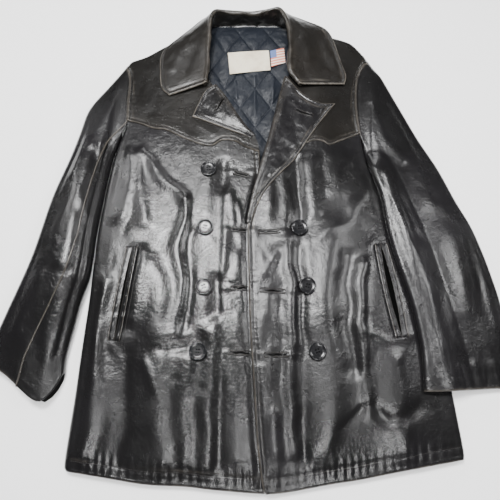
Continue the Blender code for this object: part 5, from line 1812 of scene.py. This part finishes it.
@dataclass
class Collar:
    """The collar: its stand up from the neck seam, its roll and its fall."""

    stand_columns: int = 9
    roll_columns: int = 9
    per_span: int = 12
    width: float = 88.0
    roll_angle: float = 145.0
    dent: float = 1.0

    def build(self, bench: Bench) -> Array:
        """Builds the collar.

        Args:
            bench: what every piece is made with.

        Returns:
            The grid of outer points.
        """
        stations = smooth_line(COLLAR, self.per_span)
        edge_line = stations[:, 6:8]
        gaps = np.linalg.norm(np.diff(edge_line, axis=0), axis=1)
        length = np.concatenate([[0], np.cumsum(gaps)])
        wanted = fine_shares(length[-1], True, True) * length[-1]
        stations = np.stack([np.interp(wanted, length, stations[:, k]) for k in range(9)], axis=1)
        fall = fine_shares(self.width, False, True)[1:]
        angles = np.radians(np.linspace(0.0, self.roll_angle, self.roll_columns))
        rows = len(stations)
        columns = self.stand_columns + self.roll_columns + len(fall)
        grid = np.zeros((rows, columns, 3))
        for r, row in enumerate(stations):
            neck, roll, edge = row[:3].copy(), row[3:6], row[6:].copy()
            outward = unit(np.array([edge[0] - neck[0], edge[1] - neck[1], 0.0]))
            centre = roll - np.array([0.0, 0.0, COLLAR_ROLL_RADIUS])
            beyond = neck + COLLAR_FOOT_REACH * outward
            on_neck = max(bench.cover.height(neck[0], neck[1], 2.0),
                          bench.cover.height(beyond[0], beyond[1], 3.0))
            neck[2] = max(neck[2], min(on_neck, 27.0) + REST_GAP)
            centre[2] = max(centre[2], neck[2] + 1.5)
            up = np.array([0.0, 0.0, 1.0])
            swing = -outward * np.cos(angles)[:, None] + up * np.sin(angles)[:, None]
            turn = centre + COLLAR_ROLL_RADIUS * swing
            stand = neck + (turn[0] - neck) * np.linspace(0, 1, self.stand_columns, endpoint=False)[:, None]
            drop = turn[-1] + (edge - turn[-1]) * fall[:, None]
            drop[:, 2] = turn[-1][2] + (edge[2] - turn[-1][2]) * fall ** 0.8
            ground = np.array([bench.cover.height(x, y, 1.5) for x, y in drop[:, :2]])
            drop[:, 2] = np.maximum(drop[:, 2], ground + COLLAR_THICK + REST_GAP)
            grid[r] = np.vstack([stand, turn, drop])
        return self._dress(grid, bench)

    def _dress(self, grid: Array, bench: Bench) -> Array:
        """Adds dents and the sewn edge, and lays the collar.

        Args:
            grid: the plain outer points.
            bench: what every piece is made with.

        Returns:
            The finished outer points.
        """
        rows = len(grid)
        first = self.stand_columns + self.roll_columns
        grid[:, first:, 2] = smoothed(grid[:, first:, 2], 4)
        facing = (rows // 6, grid.shape[1] - 20, 1)
        normals = grid_normals(grid, facing)
        from_edge = distance_from(grid, 1, True)
        from_end = np.minimum(distance_from(grid, 0, False), distance_from(grid, 0, True))
        near = np.minimum(from_edge, from_end)
        along = np.repeat(distance_from(grid[:, -1:], 0, False), grid.shape[1], axis=1)
        held = ease(near / 14.0)
        x, y = grid[..., 0], grid[..., 1]
        stand = np.zeros(grid.shape[:2])
        stand[:, :self.stand_columns + 3] = 1.0
        soft = self.dent * DENTS.at(x + 300, y) + 0.14 * WRINKLES.at(x, y)
        soft += 0.45 * LAPEL_WRINKLES.at(x, y) * (1 - stand) + swayed(x, y, 4.0, COLLAR_CREASES) * (1 - stand)
        creased = 1.7 * LAPEL_WRINKLES.at(x * 1.2, y + 1.4 * grid[..., 2])
        soft += stand * (creased + fold_relief(x, y + grid[..., 2] / 3, COLLAR_DENTS))
        relief = held * soft + TURNED_EDGE.relief(near, along) * (1 - stand)
        grid = grid + normals * relief[..., None]
        wear = TURNED_EDGE.wear(near, along, 0.9)
        roll = np.exp(-((np.arange(grid.shape[1]) - self.stand_columns - 4) / 4.0) ** 2)[None, :]
        wear += 0.22 * roll * (0.55 + 0.45 * RUB.at(x, y))
        bench.cover.add(grid[:, self.stand_columns:])
        wall = ClothWall("collar_leather", grid, COLLAR_THICK, facing, np.clip(wear, 0, 1))
        lay(wall, bench.finishes.collar, ["collar"])
        return grid


# Lining and labels


def inside_outline(x: float, y: float, outline: Points) -> bool:
    """Tells whether a plan point lies inside a closed outline.

    Args:
        x: the point's x.
        y: the point's y.
        outline: the outline's corners.

    Returns:
        True if it lies inside.
    """
    inside = False
    for i, (x0, y0) in enumerate(outline):
        x1, y1 = outline[i - 1]
        if (y0 > y) != (y1 > y) and x < (x1 - x0) * (y - y0) / (y1 - y0) + x0:
            inside = not inside
    return inside


@dataclass
class Lining:
    """The quilted lining where the neck opening shows it."""

    step: float = 1.9
    stitch_depth: float = 1.5
    stitch_width: float = 0.032

    @staticmethod
    def _diagonals(x: Array, y: Array) -> tuple[Array, Array]:
        """Gives the phase of each family of stitch lines, whole where a line runs midway."""
        a = (x - DIAMOND_CENTRE[0]) / DIAMOND[0]
        b = (y - DIAMOND_CENTRE[1]) / DIAMOND[1]
        return a + b, a - b

    def height(self, x: Array, y: Array) -> Array:
        """Gives the quilting's height.

        Args:
            x: plan x.
            y: plan y.

        Returns:
            Heights above the floor in millimetres.
        """
        wander = 1.2 * DENTS.at(x, y)
        p, q = self._diagonals(x + wander, y)
        puff = np.abs(np.cos(math.pi * p) * np.cos(math.pi * q)) ** 0.55
        lines = np.zeros_like(x)
        for phase in (p, q):
            off = np.abs(((phase + 0.5) % 1.0 + 0.5) % 1.0 - 0.5)
            lines = np.maximum(lines, np.exp(-(off / self.stitch_width) ** 2))
        gathers = 0.65 * WRINKLES.at(x * 1.5, y * 1.5) * (0.35 + 0.65 * (1 - puff))
        rise = QUILT_RISE * puff - self.stitch_depth * lines + gathers + 0.9 * LAPEL_WRINKLES.at(x, y) * puff
        rise += fold_relief(x, y, LINING_PLEATS)
        return LINING_Z + LINING_THICK + rise * ease((LINING_TOP - 2.0 - y) / 16.0)

    def build(self, bench: Bench) -> bpy.types.Object:
        """Builds the lining as one closed sheet.

        Args:
            bench: what every piece is made with.

        Returns:
            The lining.
        """
        xs = np.arange(-94.0, 96.0, self.step)
        ys = np.arange(58.0, LINING_TOP, self.step)
        grid_x, grid_y = np.meshgrid(xs, ys)
        tops = self.height(grid_x, grid_y)
        kept = [(r, c) for r in range(len(ys) - 1) for c in range(len(xs) - 1)
                if inside_outline(xs[c] + self.step / 2, ys[r] + self.step / 2, LINING_SHOWS)]
        chosen = set(kept)
        index: dict[tuple[int, int, int], int] = {}
        points: list[tuple[float, float, float]] = []

        def corner(r: int, c: int, top: int) -> int:
            """Numbers a corner of the sheet, made once.

            Args:
                r: its row.
                c: its column.
                top: one for the upper face, nought for the lower.

            Returns:
                The corner's number.
            """
            key = (r, c, top)
            if key not in index:
                index[key] = len(points)
                points.append((xs[c], ys[r], tops[r, c] if top else LINING_Z))
            return index[key]

        faces = []
        for r, c in kept:
            ring = ((r, c), (r, c + 1), (r + 1, c + 1), (r + 1, c))
            faces.append([corner(*p, 1) for p in ring])
            faces.append([corner(*p, 0) for p in reversed(ring)])
            for k, beyond in enumerate(((r - 1, c), (r, c + 1), (r + 1, c), (r, c - 1))):
                if beyond not in chosen:
                    a, b = ring[k], ring[(k + 1) % 4]
                    faces.append([corner(*a, 0), corner(*b, 0), corner(*b, 1), corner(*a, 1)])
        piece = link_mesh("quilted_lining", np.array(points), faces, bench.finishes.lining)
        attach(piece, BODY)
        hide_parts("lining")
        return piece


@dataclass
class SewnLabel:
    """A label lying on the quilting."""

    name: str
    corners: Points
    slot: Slot
    bow: float = 0.8

    def build(self, material: Material) -> Array:
        """Builds the label and gives its outer points.

        Args:
            material: the label's material.

        Returns:
            The label's outer points.
        """
        a, b, c, d = (np.array(p, dtype=float) for p in self.corners)
        v, u = np.meshgrid(np.linspace(0, 1, 26), np.linspace(0, 1, 40), indexing="ij")
        u3, v3 = u[..., None], v[..., None]
        plan = (1 - v3) * ((1 - u3) * a + u3 * b) + v3 * ((1 - u3) * d + u3 * c)
        base = LINING_Z + LINING_THICK + QUILT_TOP + SEAM_GAP + LABEL_THICK
        wave = 0.35 * WRINKLES.at(plan[..., 0] * 0.5, plan[..., 1] * 0.5)
        edge = np.minimum(np.minimum(u, 1 - u) * 60, np.minimum(v, 1 - v) * 40)
        sewn = 0.25 * np.exp(-((edge - 2.4) / 1.0) ** 2)
        z = base + self.bow * np.sin(math.pi * u) + wave * ease(edge / 6) - sewn
        grid = np.dstack([plan, z])
        lay(ClothWall(f"{self.name}_cloth", grid, LABEL_THICK, (12, 20, 1)), material, [self.name])
        return grid


# Buttons, buttonholes and pockets


def tube(points: Array, radius: Array | float, sides: int = 6, closed: bool = False
         ) -> tuple[Array, list]:
    """Makes a round bar along points that lie nearly level.

    Args:
        points: the bar's middle line.
        radius: its radius, one or one a point.
        sides: how many sides it has.
        closed: whether it is a ring.

    Returns:
        Points and faces.
    """
    count = len(points)
    if closed:
        along = unit(np.roll(points, -1, axis=0) - np.roll(points, 1, axis=0))
    else:
        along = unit(np.gradient(points, axis=0))
    up = np.array([0.0, 0.0, 1.0])
    sideways = unit(np.cross(along, up))
    radius = np.broadcast_to(radius, count)[:, None]
    rings = []
    for k in range(sides):
        angle = 2 * math.pi * k / sides
        rings.append(points + radius * (math.cos(angle) * sideways + math.sin(angle) * up))
    verts = np.stack(rings, axis=1).reshape(-1, 3)
    faces = []
    for i in range(count if closed else count - 1):
        j = (i + 1) % count
        for k in range(sides):
            m = (k + 1) % sides
            faces.append([i * sides + k, i * sides + m, j * sides + m, j * sides + k])
    if not closed:
        faces.append([k for k in range(sides)][::-1])
        faces.append([(count - 1) * sides + k for k in range(sides)])
    return verts, faces


@dataclass
class AnchorButton:
    """A moulded button with a raised rim, an anchor and four holes."""

    radius: float = 14.5
    sides: int = 56
    profile: Points = ((0, 0), (9.5, 0), (12.6, 0.7), (14.2, 1.8), (14.5, 2.8), (14.3, 3.8), (13.7, 4.4),
                       (12.9, 4.5), (12.2, 4.2), (11.6, 3.5), (11, 3.15), (7, 3.05), (0, 3))
    face: float = 3.05
    hole_at: float = 3.3
    hole_radius: float = 1.2
    hole_sides: int = 12

    def _body(self) -> tuple[list, list]:
        """Turns the profile."""
        points = [(0.0, 0.0, self.profile[0][1])]
        for radius, z in self.profile[1:-1]:
            for k in range(self.sides):
                angle = 2 * math.pi * k / self.sides
                points.append((radius * math.cos(angle), radius * math.sin(angle), z))
        points.append((0.0, 0.0, self.profile[-1][1]))
        rings = len(self.profile) - 2
        faces = []
        for k in range(self.sides):
            after = (k + 1) % self.sides
            faces.append([0, 1 + after, 1 + k])
            for ring in range(rings - 1):
                low, high = 1 + ring * self.sides, 1 + (ring + 1) * self.sides
                faces.append([low + k, low + after, high + after, high + k])
            high = 1 + (rings - 1) * self.sides
            faces.append([high + k, high + after, len(points) - 1])
        return points, faces

    def _holes(self) -> tuple[list, list]:
        """Makes near-black discs in the four sewing holes, as painted shade of the holes."""
        count, radius = self.hole_sides, self.hole_radius
        round_turn = np.linspace(0, 2 * math.pi, count, endpoint=False)
        points, faces = [], []
        for k in range(4):
            angle = math.radians(45 + 90 * k)
            away = (self.hole_at * math.cos(angle), self.hole_at * math.sin(angle), self.face + 0.02)
            low = len(points)
            for level in (-0.4, 0.05):
                points += [np.array(away) + np.array([radius * math.cos(t), radius * math.sin(t), level])
                           for t in round_turn]
            high = low + count
            faces.append([low + i for i in reversed(range(count))])
            faces.append([high + i for i in range(count)])
            faces += [[low + i, low + (i + 1) % count, high + (i + 1) % count, high + i]
                      for i in range(count)]
        return points, faces

    def _anchor(self) -> list[tuple[Array, list]]:
        """Makes the anchor's bars: shank, stock, arms, flukes and ring."""
        z = self.face + 0.25
        shank = np.array([(0, y, z) for y in np.linspace(-7.2, 5.4, 12)])
        stock = np.array([(x, 3.6, z) for x in np.linspace(-3.6, 3.6, 7)])
        sweep = np.radians(np.linspace(200, 340, 18))
        arms = np.column_stack([6.4 * np.cos(sweep), -1.6 + 6.0 * np.sin(sweep), np.full(18, z)])
        parts = [tube(shank, 0.95), tube(stock, 0.75), tube(arms, 1.0)]
        for sign in (-1, 1):
            fluke = np.array([(sign * (6.0 + 0.4 * t), -3.7 + 2.6 * t, z) for t in np.linspace(0, 1, 5)])
            parts.append(tube(fluke, 1.25))
            inner = np.array([(sign * (6.0 - 1.8 * t), -3.2 + 0.8 * t, z) for t in np.linspace(0, 1, 4)])
            parts.append(tube(inner, 0.8))
        around = np.radians(np.linspace(0, 360, 16, endpoint=False))
        ring = np.column_stack([1.5 * np.cos(around), 7.0 + 1.5 * np.sin(around), np.full(16, z)])
        parts.append(tube(ring, 0.45, closed=True))
        rope = np.radians(np.linspace(0, 360, 64, endpoint=False))
        wobble = 9.6 + 0.25 * np.sin(16 * rope)
        twist = np.column_stack([wobble * np.cos(rope), wobble * np.sin(rope), np.full(64, z - 0.1)])
        parts.append(tube(twist, 0.32, closed=True))
        return parts

    def build(self, node: str, x: float, y: float, turn: float, bench: Bench) -> None:
        """Builds the button on its front, with near-black discs in its holes as painted shade.

        Args:
            node: the solid that it stands for.
            x: plan x of its middle.
            y: plan y of its middle.
            turn: how far it is turned, in degrees.
            bench: what every piece is made with.
        """
        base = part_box(node)[0][2] / MM
        points, faces = self._body()
        points = [np.array(p) for p in points]
        for more, more_faces in self._anchor():
            offset = len(points)
            points += list(more)
            faces += [[offset + i for i in f] for f in more_faces]
        c, s = math.cos(math.radians(turn)), math.sin(math.radians(turn))
        spin = np.array([[c, -s, 0], [s, c, 0], [0, 0, 1]])
        placed = np.array(points) @ spin.T + np.array([x, y, base])
        piece = link_mesh(f"{node}_moulded", placed, faces, bench.finishes.button, smooth_angle=40.0)
        add_trim(piece, [node])
        # near-black discs on the face: painted shade in the sewing holes
        dots, dot_faces = self._holes()
        placed = np.array(dots) @ spin.T + np.array([x, y, base])
        add_trim(link_mesh(f"{node}_holes", placed, dot_faces, bench.finishes.hole))


@dataclass
class Buttonhole:
    """A bound buttonhole: two rounded lips with a near-black bar between them, painted shade of the slit."""

    name: str
    ends: tuple[float, float, float, float]
    width: float = 9.6
    lip: float = 1.3
    slit: float = 1.6
    slit_half: float = 1.7
    rise: float = 0.35
    margin: float = 2.5

    def build(self, bench: Bench) -> None:
        """Builds the lips on the cloth, and the painted shade between them.

        Args:
            bench: what every piece is made with.
        """
        x0, y0, x1, y1 = self.ends
        start, end = np.array([x0, y0], dtype=float), np.array([x1, y1], dtype=float)
        length = float(np.linalg.norm(end - start))
        along = (end - start) / length
        across = np.array([-along[1], along[0]])
        u = np.linspace(-self.margin, length + self.margin, 44)
        v = np.linspace(-self.width / 2, self.width / 2, 21)
        grid = np.zeros((len(u), len(v), 3))
        for r, du in enumerate(u):
            tip = ease(min(du + self.margin, length + self.margin - du) / self.margin)
            for c, dv in enumerate(v):
                narrow = dv * (0.72 + 0.28 * tip)
                x, y = start + along * du + across * narrow
                share = abs(dv) / (self.width / 2)
                lip = self.lip * tip * math.exp(-((abs(dv) - 2.9) / 1.1) ** 2)
                slit = self.slit * tip * math.exp(-(dv / self.slit_half) ** 4)
                ground = bench.cover.height(x, y, 0.3)
                grid[r, c] = (x, y, ground + lip - slit + self.rise * tip - self.rise * share ** 3)
        wear = np.tile(0.10 * np.exp(-((np.abs(v) - 2.9) / 0.7) ** 2), (len(u), 1))
        piece = ClothWall(self.name, grid, 1.0, (20, 4, 1), wear).build(bench.finishes.leather)
        add_trim(piece)
        # a near-black bar sunk between the lips: painted shade of the slit
        inset = np.linspace(0.4, length - 0.4, 22)
        centre = np.array([start + along * t + across * 0.35 * math.sin(t / 2.6) for t in inset])
        line = bench.cover.line(centre, -0.9)
        half = self.slit_half * np.sin(math.pi * np.linspace(0.08, 0.92, 22)) ** 0.5
        half[-4:-1] += 0.35
        bar, bar_faces = tube(line, half, sides=6)
        add_trim(link_mesh(f"{self.name}_slit", bar, bar_faces, bench.finishes.hole))


@dataclass
class Pocket:
    """A slanted pocket opening with two welts and a near-black sheet between them, painted shade of its
    inside.
    """

    side: Side
    top: tuple[float, float]
    bottom: tuple[float, float]
    width: float
    gape: float
    slope: float = 2.4
    rim: float = 0.8
    stitch_away: float = 4.0

    def build(self, bench: Bench) -> list[Array]:
        """Builds both lips and the painted shade between them.

        Args:
            bench: what every piece is made with.

        Returns:
            Lines for the stitches round the opening.
        """
        top, bottom = np.array(self.top, dtype=float), np.array(self.bottom, dtype=float)
        across = unit(np.array([top[1] - bottom[1], bottom[0] - top[0]], dtype=float))
        if across[0] < 0:
            across = -across
        lines = []
        v = fine_shares(float(np.linalg.norm(bottom - top)), True, True, 3.0)
        u = np.linspace(0, 1, 16)
        for label, sign in (("inner", -1.0), ("outer", 1.0)):
            sign = sign if self.side is Side.LEFT else -sign
            bow = np.sin(math.pi * v)
            opening = SEAM_GAP + 0.5 * self.gape * bow
            narrow = 1 - 0.25 * self.gape / self.width * bow
            grid = np.zeros((len(v), len(u), 3))
            for r in range(len(v)):
                slit = top + (bottom - top) * v[r]
                for c, share in enumerate(u):
                    plan = slit + across * sign * (opening[r] + self.width * share * narrow[r])
                    rim = self.rim * math.exp(-((share - 0.86) / 0.10) ** 2)
                    roll = LIP_THICK - 0.6 + self.slope * share + rim
                    stitch = 0.7 * math.exp(-((share - 0.62) / 0.07) ** 2)
                    pucker = 0.25 * math.sin(r * 1.15) * math.exp(-((share - 0.62) / 0.25) ** 2)
                    ends = ease(min(v[r], 1 - v[r]) / 0.02)
                    ground = bench.cover.height(*plan, 1.0)
                    raised = (roll - stitch + pucker) * (0.35 + 0.65 * float(ends))
                    grid[r, c] = (*plan, ground + 0.5 + raised)
            rubbed = 0.12 * np.exp(-(u / 0.06) ** 2) + 0.3 * np.exp(-((u - 0.88) / 0.06) ** 2)
            wear = np.tile(rubbed, (len(v), 1))
            node = f"pocket_{self.side.value}_{label}_lip"
            wall = ClothWall(f"{node}_leather", grid, 1.6, (len(v) // 2, len(u) // 2, 1), wear)
            lay(wall, bench.finishes.leather, [node])
            reach = self.width + self.stitch_away
            outside = [top + (bottom - top) * t
                       + across * sign * (reach + 0.4 * self.gape * math.sin(math.pi * t))
                       for t in np.linspace(-0.02, 1.02, 60)]
            lines.append(bench.cover.line(np.array(outside), 0.05))
        for end, sign in ((top, -1.0), (bottom, 1.0)):
            shift = (bottom - top) * 0.035 * sign
            reach = self.width + self.stitch_away
            bar = [end + shift + across * t for t in np.linspace(-reach, reach, 20)]
            lines.append(bench.cover.line(np.array(bar), 0.05))
        self._inside_shade(top, bottom, across, bench)
        return lines

    def _inside_shade(self, top: Array, bottom: Array, across: Array, bench: Bench) -> None:
        """Lays a near-black sheet between the lips: painted shade of the pocket's inside.

        Args:
            top: the opening's upper end.
            bottom: its lower end.
            across: the direction across it.
            bench: what every piece is made with.
        """
        v, u = np.linspace(0.01, 0.99, 50), np.linspace(-1, 1, 7)
        grid = np.zeros((len(v), len(u), 3))
        for r, along in enumerate(v):
            half = 1.0 + 0.5 * self.gape * math.sin(math.pi * along)
            for c, share in enumerate(u):
                plan = top + (bottom - top) * along + across * half * share
                ground = bench.cover.height(*plan, 0.3)
                fold = 0.7 * math.exp(-((share - 0.1) / 0.3) ** 2) if self.gape > 3 else 0.0
                grid[r, c] = (*plan, ground + 0.35 + fold * math.sin(math.pi * along))
        # near-black sheet on the front: painted shade in the pocket opening
        wall = ClothWall(f"pocket_{self.side.value}_inside_shade", grid, 0.3, (25, 3, 1))
        add_trim(wall.build(bench.finishes.hole))


# Stage


@dataclass(frozen=True)
class SoftWindow:
    """A rectangular soft light that points at the coat, in metres and watts."""

    name: str
    place: tuple[float, float, float]
    power: float
    size: tuple[float, float]
    in_gloss: bool = True

    def hang(self) -> None:
        """Hangs the light."""
        lamp = bpy.data.lights.new(self.name, "AREA")
        lamp.energy, lamp.shape = self.power, "RECTANGLE"
        lamp.size, lamp.size_y = self.size
        hung = bpy.data.objects.new(self.name, lamp)
        hung.location = self.place
        hung.rotation_euler = (-Vector(self.place)).to_track_quat("-Z", "Y").to_euler()
        hung.visible_glossy = self.in_gloss
        bpy.context.scene.collection.objects.link(hung)


@dataclass
class Studio:
    """The pale floor, the soft lights and the camera."""

    windows: tuple[SoftWindow, ...] = (
        SoftWindow("key_window", (-0.30, 0.43, 1.6), 40.0, (0.40, 0.40)),
        SoftWindow("left_window", (-1.2, 0.75, 1.0), 6.0, (0.24, 0.24)),
        SoftWindow("right_window", (0.86, 0.2, 1.05), 8.0, (0.18, 0.42)),
        SoftWindow("far_window", (0.0, 1.7, 0.9), 6.0, (0.3, 0.3)),
        SoftWindow("near_window", (0.2, -1.7, 0.7), 6.0, (0.4, 0.4)),
        SoftWindow("second_window", (0.12, -0.66, 1.6), 10.0, (0.26, 0.26)),
        SoftWindow("floor_fill", (0.0, 0.0, 2.6), 100.0, (2.4, 2.4), in_gloss=False),
    )
    sky: float = 0.03
    eye: tuple[float, float, float] = (0.0, -0.340, 0.80)
    tilt: float = 19.0
    lens: float = 34.63
    floor_size: float = 8.0
    floor_gap: float = 0.0006

    def build(self) -> None:
        """Sets up the stage."""
        scene = bpy.context.scene
        view = bpy.data.objects.new("photo_view", bpy.data.cameras.new("photo_view"))
        view.data.lens, view.data.sensor_width = self.lens, 36.0
        view.location, view.rotation_euler = self.eye, (math.radians(self.tilt), 0.0, 0.0)
        scene.collection.objects.link(view)
        scene.camera = view
        s = self.floor_size
        mesh = bpy.data.meshes.new("floor")
        corners = [(x * s, y * s, -self.floor_gap) for x, y in ((-1, -1), (1, -1), (1, 1), (-1, 1))]
        mesh.from_pydata(corners, [], [(0, 1, 2, 3)])
        mesh.materials.append(PlainFinish("pale_floor", (0.9, 0.9, 0.9), 0.9).build())
        floor = bpy.data.objects.new("floor", mesh)
        scene.collection.objects.link(floor)
        world = bpy.data.worlds.new("studio")
        world.use_nodes = True
        backdrop = world.node_tree.nodes["Background"]
        backdrop.inputs[0].default_value = (1.0, 1.0, 1.0, 1.0)
        backdrop.inputs[1].default_value = self.sky
        scene.world = world
        for window in self.windows:
            window.hang()


# The coat


def inset_line(grid: Array, axis: int, from_end: bool, inset: float, lift: float) -> Array:
    """Gives the line that runs a set distance inside a grid's edge, on its surface.

    Args:
        grid: the outer points.
        axis: 0 for a first or last row, 1 for a first or last column.
        from_end: whether the edge is the last one.
        inset: the distance from the edge, in millimetres.
        lift: how far above the surface the line runs.

    Returns:
        The line's points.
    """
    away = distance_from(grid, axis, from_end)
    if axis == 0:
        away, grid = away.T, grid.transpose(1, 0, 2)
    points = []
    for row, distance in zip(grid, away):
        order = np.argsort(distance)
        points.append([np.interp(inset, distance[order], row[order, k]) for k in range(3)])
    line = np.array(points)
    line[:, 2] += lift
    return line


def sew(work: LineWork, fronts: dict[Side, Array], yokes: dict[Side, Array],
        lapels: dict[Side, Array], collar: Array, rolled: int) -> None:
    """Sews the visible stitch rows and raises the armhole seams.

    Args:
        work: the line maker.
        fronts: outer points of the fronts.
        yokes: outer points of the yokes.
        lapels: outer points of the lapels.
        collar: outer points of the collar.
        rolled: how many columns round a panel's side.
    """
    for side in Side:
        name = side.value
        front, yoke, lapel = fronts[side], yokes[side], lapels[side]
        work.stitches(f"hem_stitches_{name}", [inset_line(front[:, rolled:], 0, False, HEM.groove_at, 0.1)])
        work.stitches(f"yoke_stitches_{name}",
                      [inset_line(yoke, 1, True, inset, 0.1) for inset in (YOKE_EDGE.groove_at, 4.6)])
        work.stitches(f"lapel_stitches_{name}",
                      [inset_line(lapel[:-6], 1, True, TURNED_EDGE.groove_at, 0.1),
                       inset_line(lapel[:, 14:-5], 0, True, TURNED_EDGE.groove_at, 0.1)])
        work.ridges(f"armhole_seam_{name}", [inset_line(yoke[:, 3:], 0, False, 1.0, -0.35)], 0.0011)
    left = fronts[Side.LEFT]
    work.stitches("front_edge_stitches_l", [inset_line(left[8:-8], 1, True, FRONT_EDGE.groove_at, 0.1)])
    work.stitches("collar_stitches", [inset_line(collar[6:-6], 1, True, TURNED_EDGE.groove_at, 0.15),
                                      inset_line(collar[:, 24:-5], 0, False, TURNED_EDGE.groove_at, 0.15),
                                      inset_line(collar[:, 24:-5], 0, True, TURNED_EDGE.groove_at, 0.15)])


def main() -> None:
    """Builds the coat in order: panels, sleeves, lapels, collar, lining, trim, stage."""
    logging.basicConfig(level=logging.INFO, format="%(message)s")
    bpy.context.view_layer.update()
    bench = Bench(Finishes.make(), Cover())
    Back().build(bench)
    fronts = {
        Side.RIGHT: Front(Side.RIGHT, SIDE_R + ARMHOLE_R[1:3], HEM_R, FRONT_EDGE_R, YOKE_SEAM_R, ROLL_R,
                          FORM.right_height).build(bench),
        Side.LEFT: Front(Side.LEFT, SIDE_L + ARMHOLE_L[1:2], HEM_L, FRONT_EDGE_L, YOKE_SEAM_L, ROLL_L,
                         FORM.left_height).build(bench),
    }
    yokes = {
        Side.RIGHT: Yoke(Side.RIGHT, SHOULDER_R, YOKE_SEAM_R, ARMHOLE_R, NECK_R, 0.795, FORM.height
                         ).build(bench),
        Side.LEFT: Yoke(Side.LEFT, SHOULDER_L, YOKE_SEAM_L, ARMHOLE_L, NECK_L, 0.935, FORM.left_height
                        ).build(bench),
    }
    _, right_seam = Sleeve(Side.RIGHT, SLEEVE_OUT_R, SLEEVE_IN_R, CUFF_R, ARMHOLE_R, SLEEVE_HEIGHTS_R,
                           SLEEVE_ROLL_R, SEAM_SHARE_R, 0.85).build(bench)
    Sleeve(Side.LEFT, SLEEVE_OUT_L, SLEEVE_IN_L, CUFF_L, ARMHOLE_L, SLEEVE_HEIGHTS_L, SLEEVE_ROLL_L, None,
           0.95).build(bench)
    lapels = {
        Side.RIGHT: Lapel(Side.RIGHT, FRONT_EDGE_R, NECK_R, LAPEL_FOLD_R, LAPEL_EDGE_R, LAPEL_TOP_R, 0.7
                          ).build(bench),
        Side.LEFT: Lapel(Side.LEFT, FRONT_EDGE_L, NECK_L, LAPEL_FOLD_L, LAPEL_EDGE_L, LAPEL_TOP_L, 1.4
                         ).build(bench),
    }
    collar = Collar().build(bench)
    Lining().build(bench)
    SewnLabel("label", LABEL, Slot.LABEL).build(bench.finishes.label)
    SewnLabel("flag_tag", FLAG_TAG, Slot.TAG, 0.5).build(bench.finishes.tag)
    work = LineWork(bench.finishes)
    turns = (8.0, -14.0, 20.0, -6.0)
    for name, places in (("r", BUTTONS_R), ("l", BUTTONS_L)):
        for k, (x, y) in enumerate(places):
            AnchorButton().build(f"button_{name}{k + 1}", x, y, turns[k], bench)
    for name, holes in (("r", (*HOLES_R, HOLE_LAPEL_R)), ("l", (*HOLES_L, HOLE_LAPEL_L))):
        for k, ends in enumerate(holes):
            Buttonhole(f"buttonhole_{name}{k + 1}", ends).build(bench)
    for pocket in (Pocket(Side.RIGHT, *POCKET_R), Pocket(Side.LEFT, *POCKET_L)):
        lines = pocket.build(bench)
        work.stitches(f"pocket_stitches_{pocket.side.value}", lines)
    sew(work, fronts, yokes, lapels, collar, len(ROLL_ANGLES))
    work.ridges("sleeve_seam_r", [right_seam + np.array([0.0, 0.0, -0.3])], 0.0016)
    Studio().build()


if __name__ == "__main__":
    main()
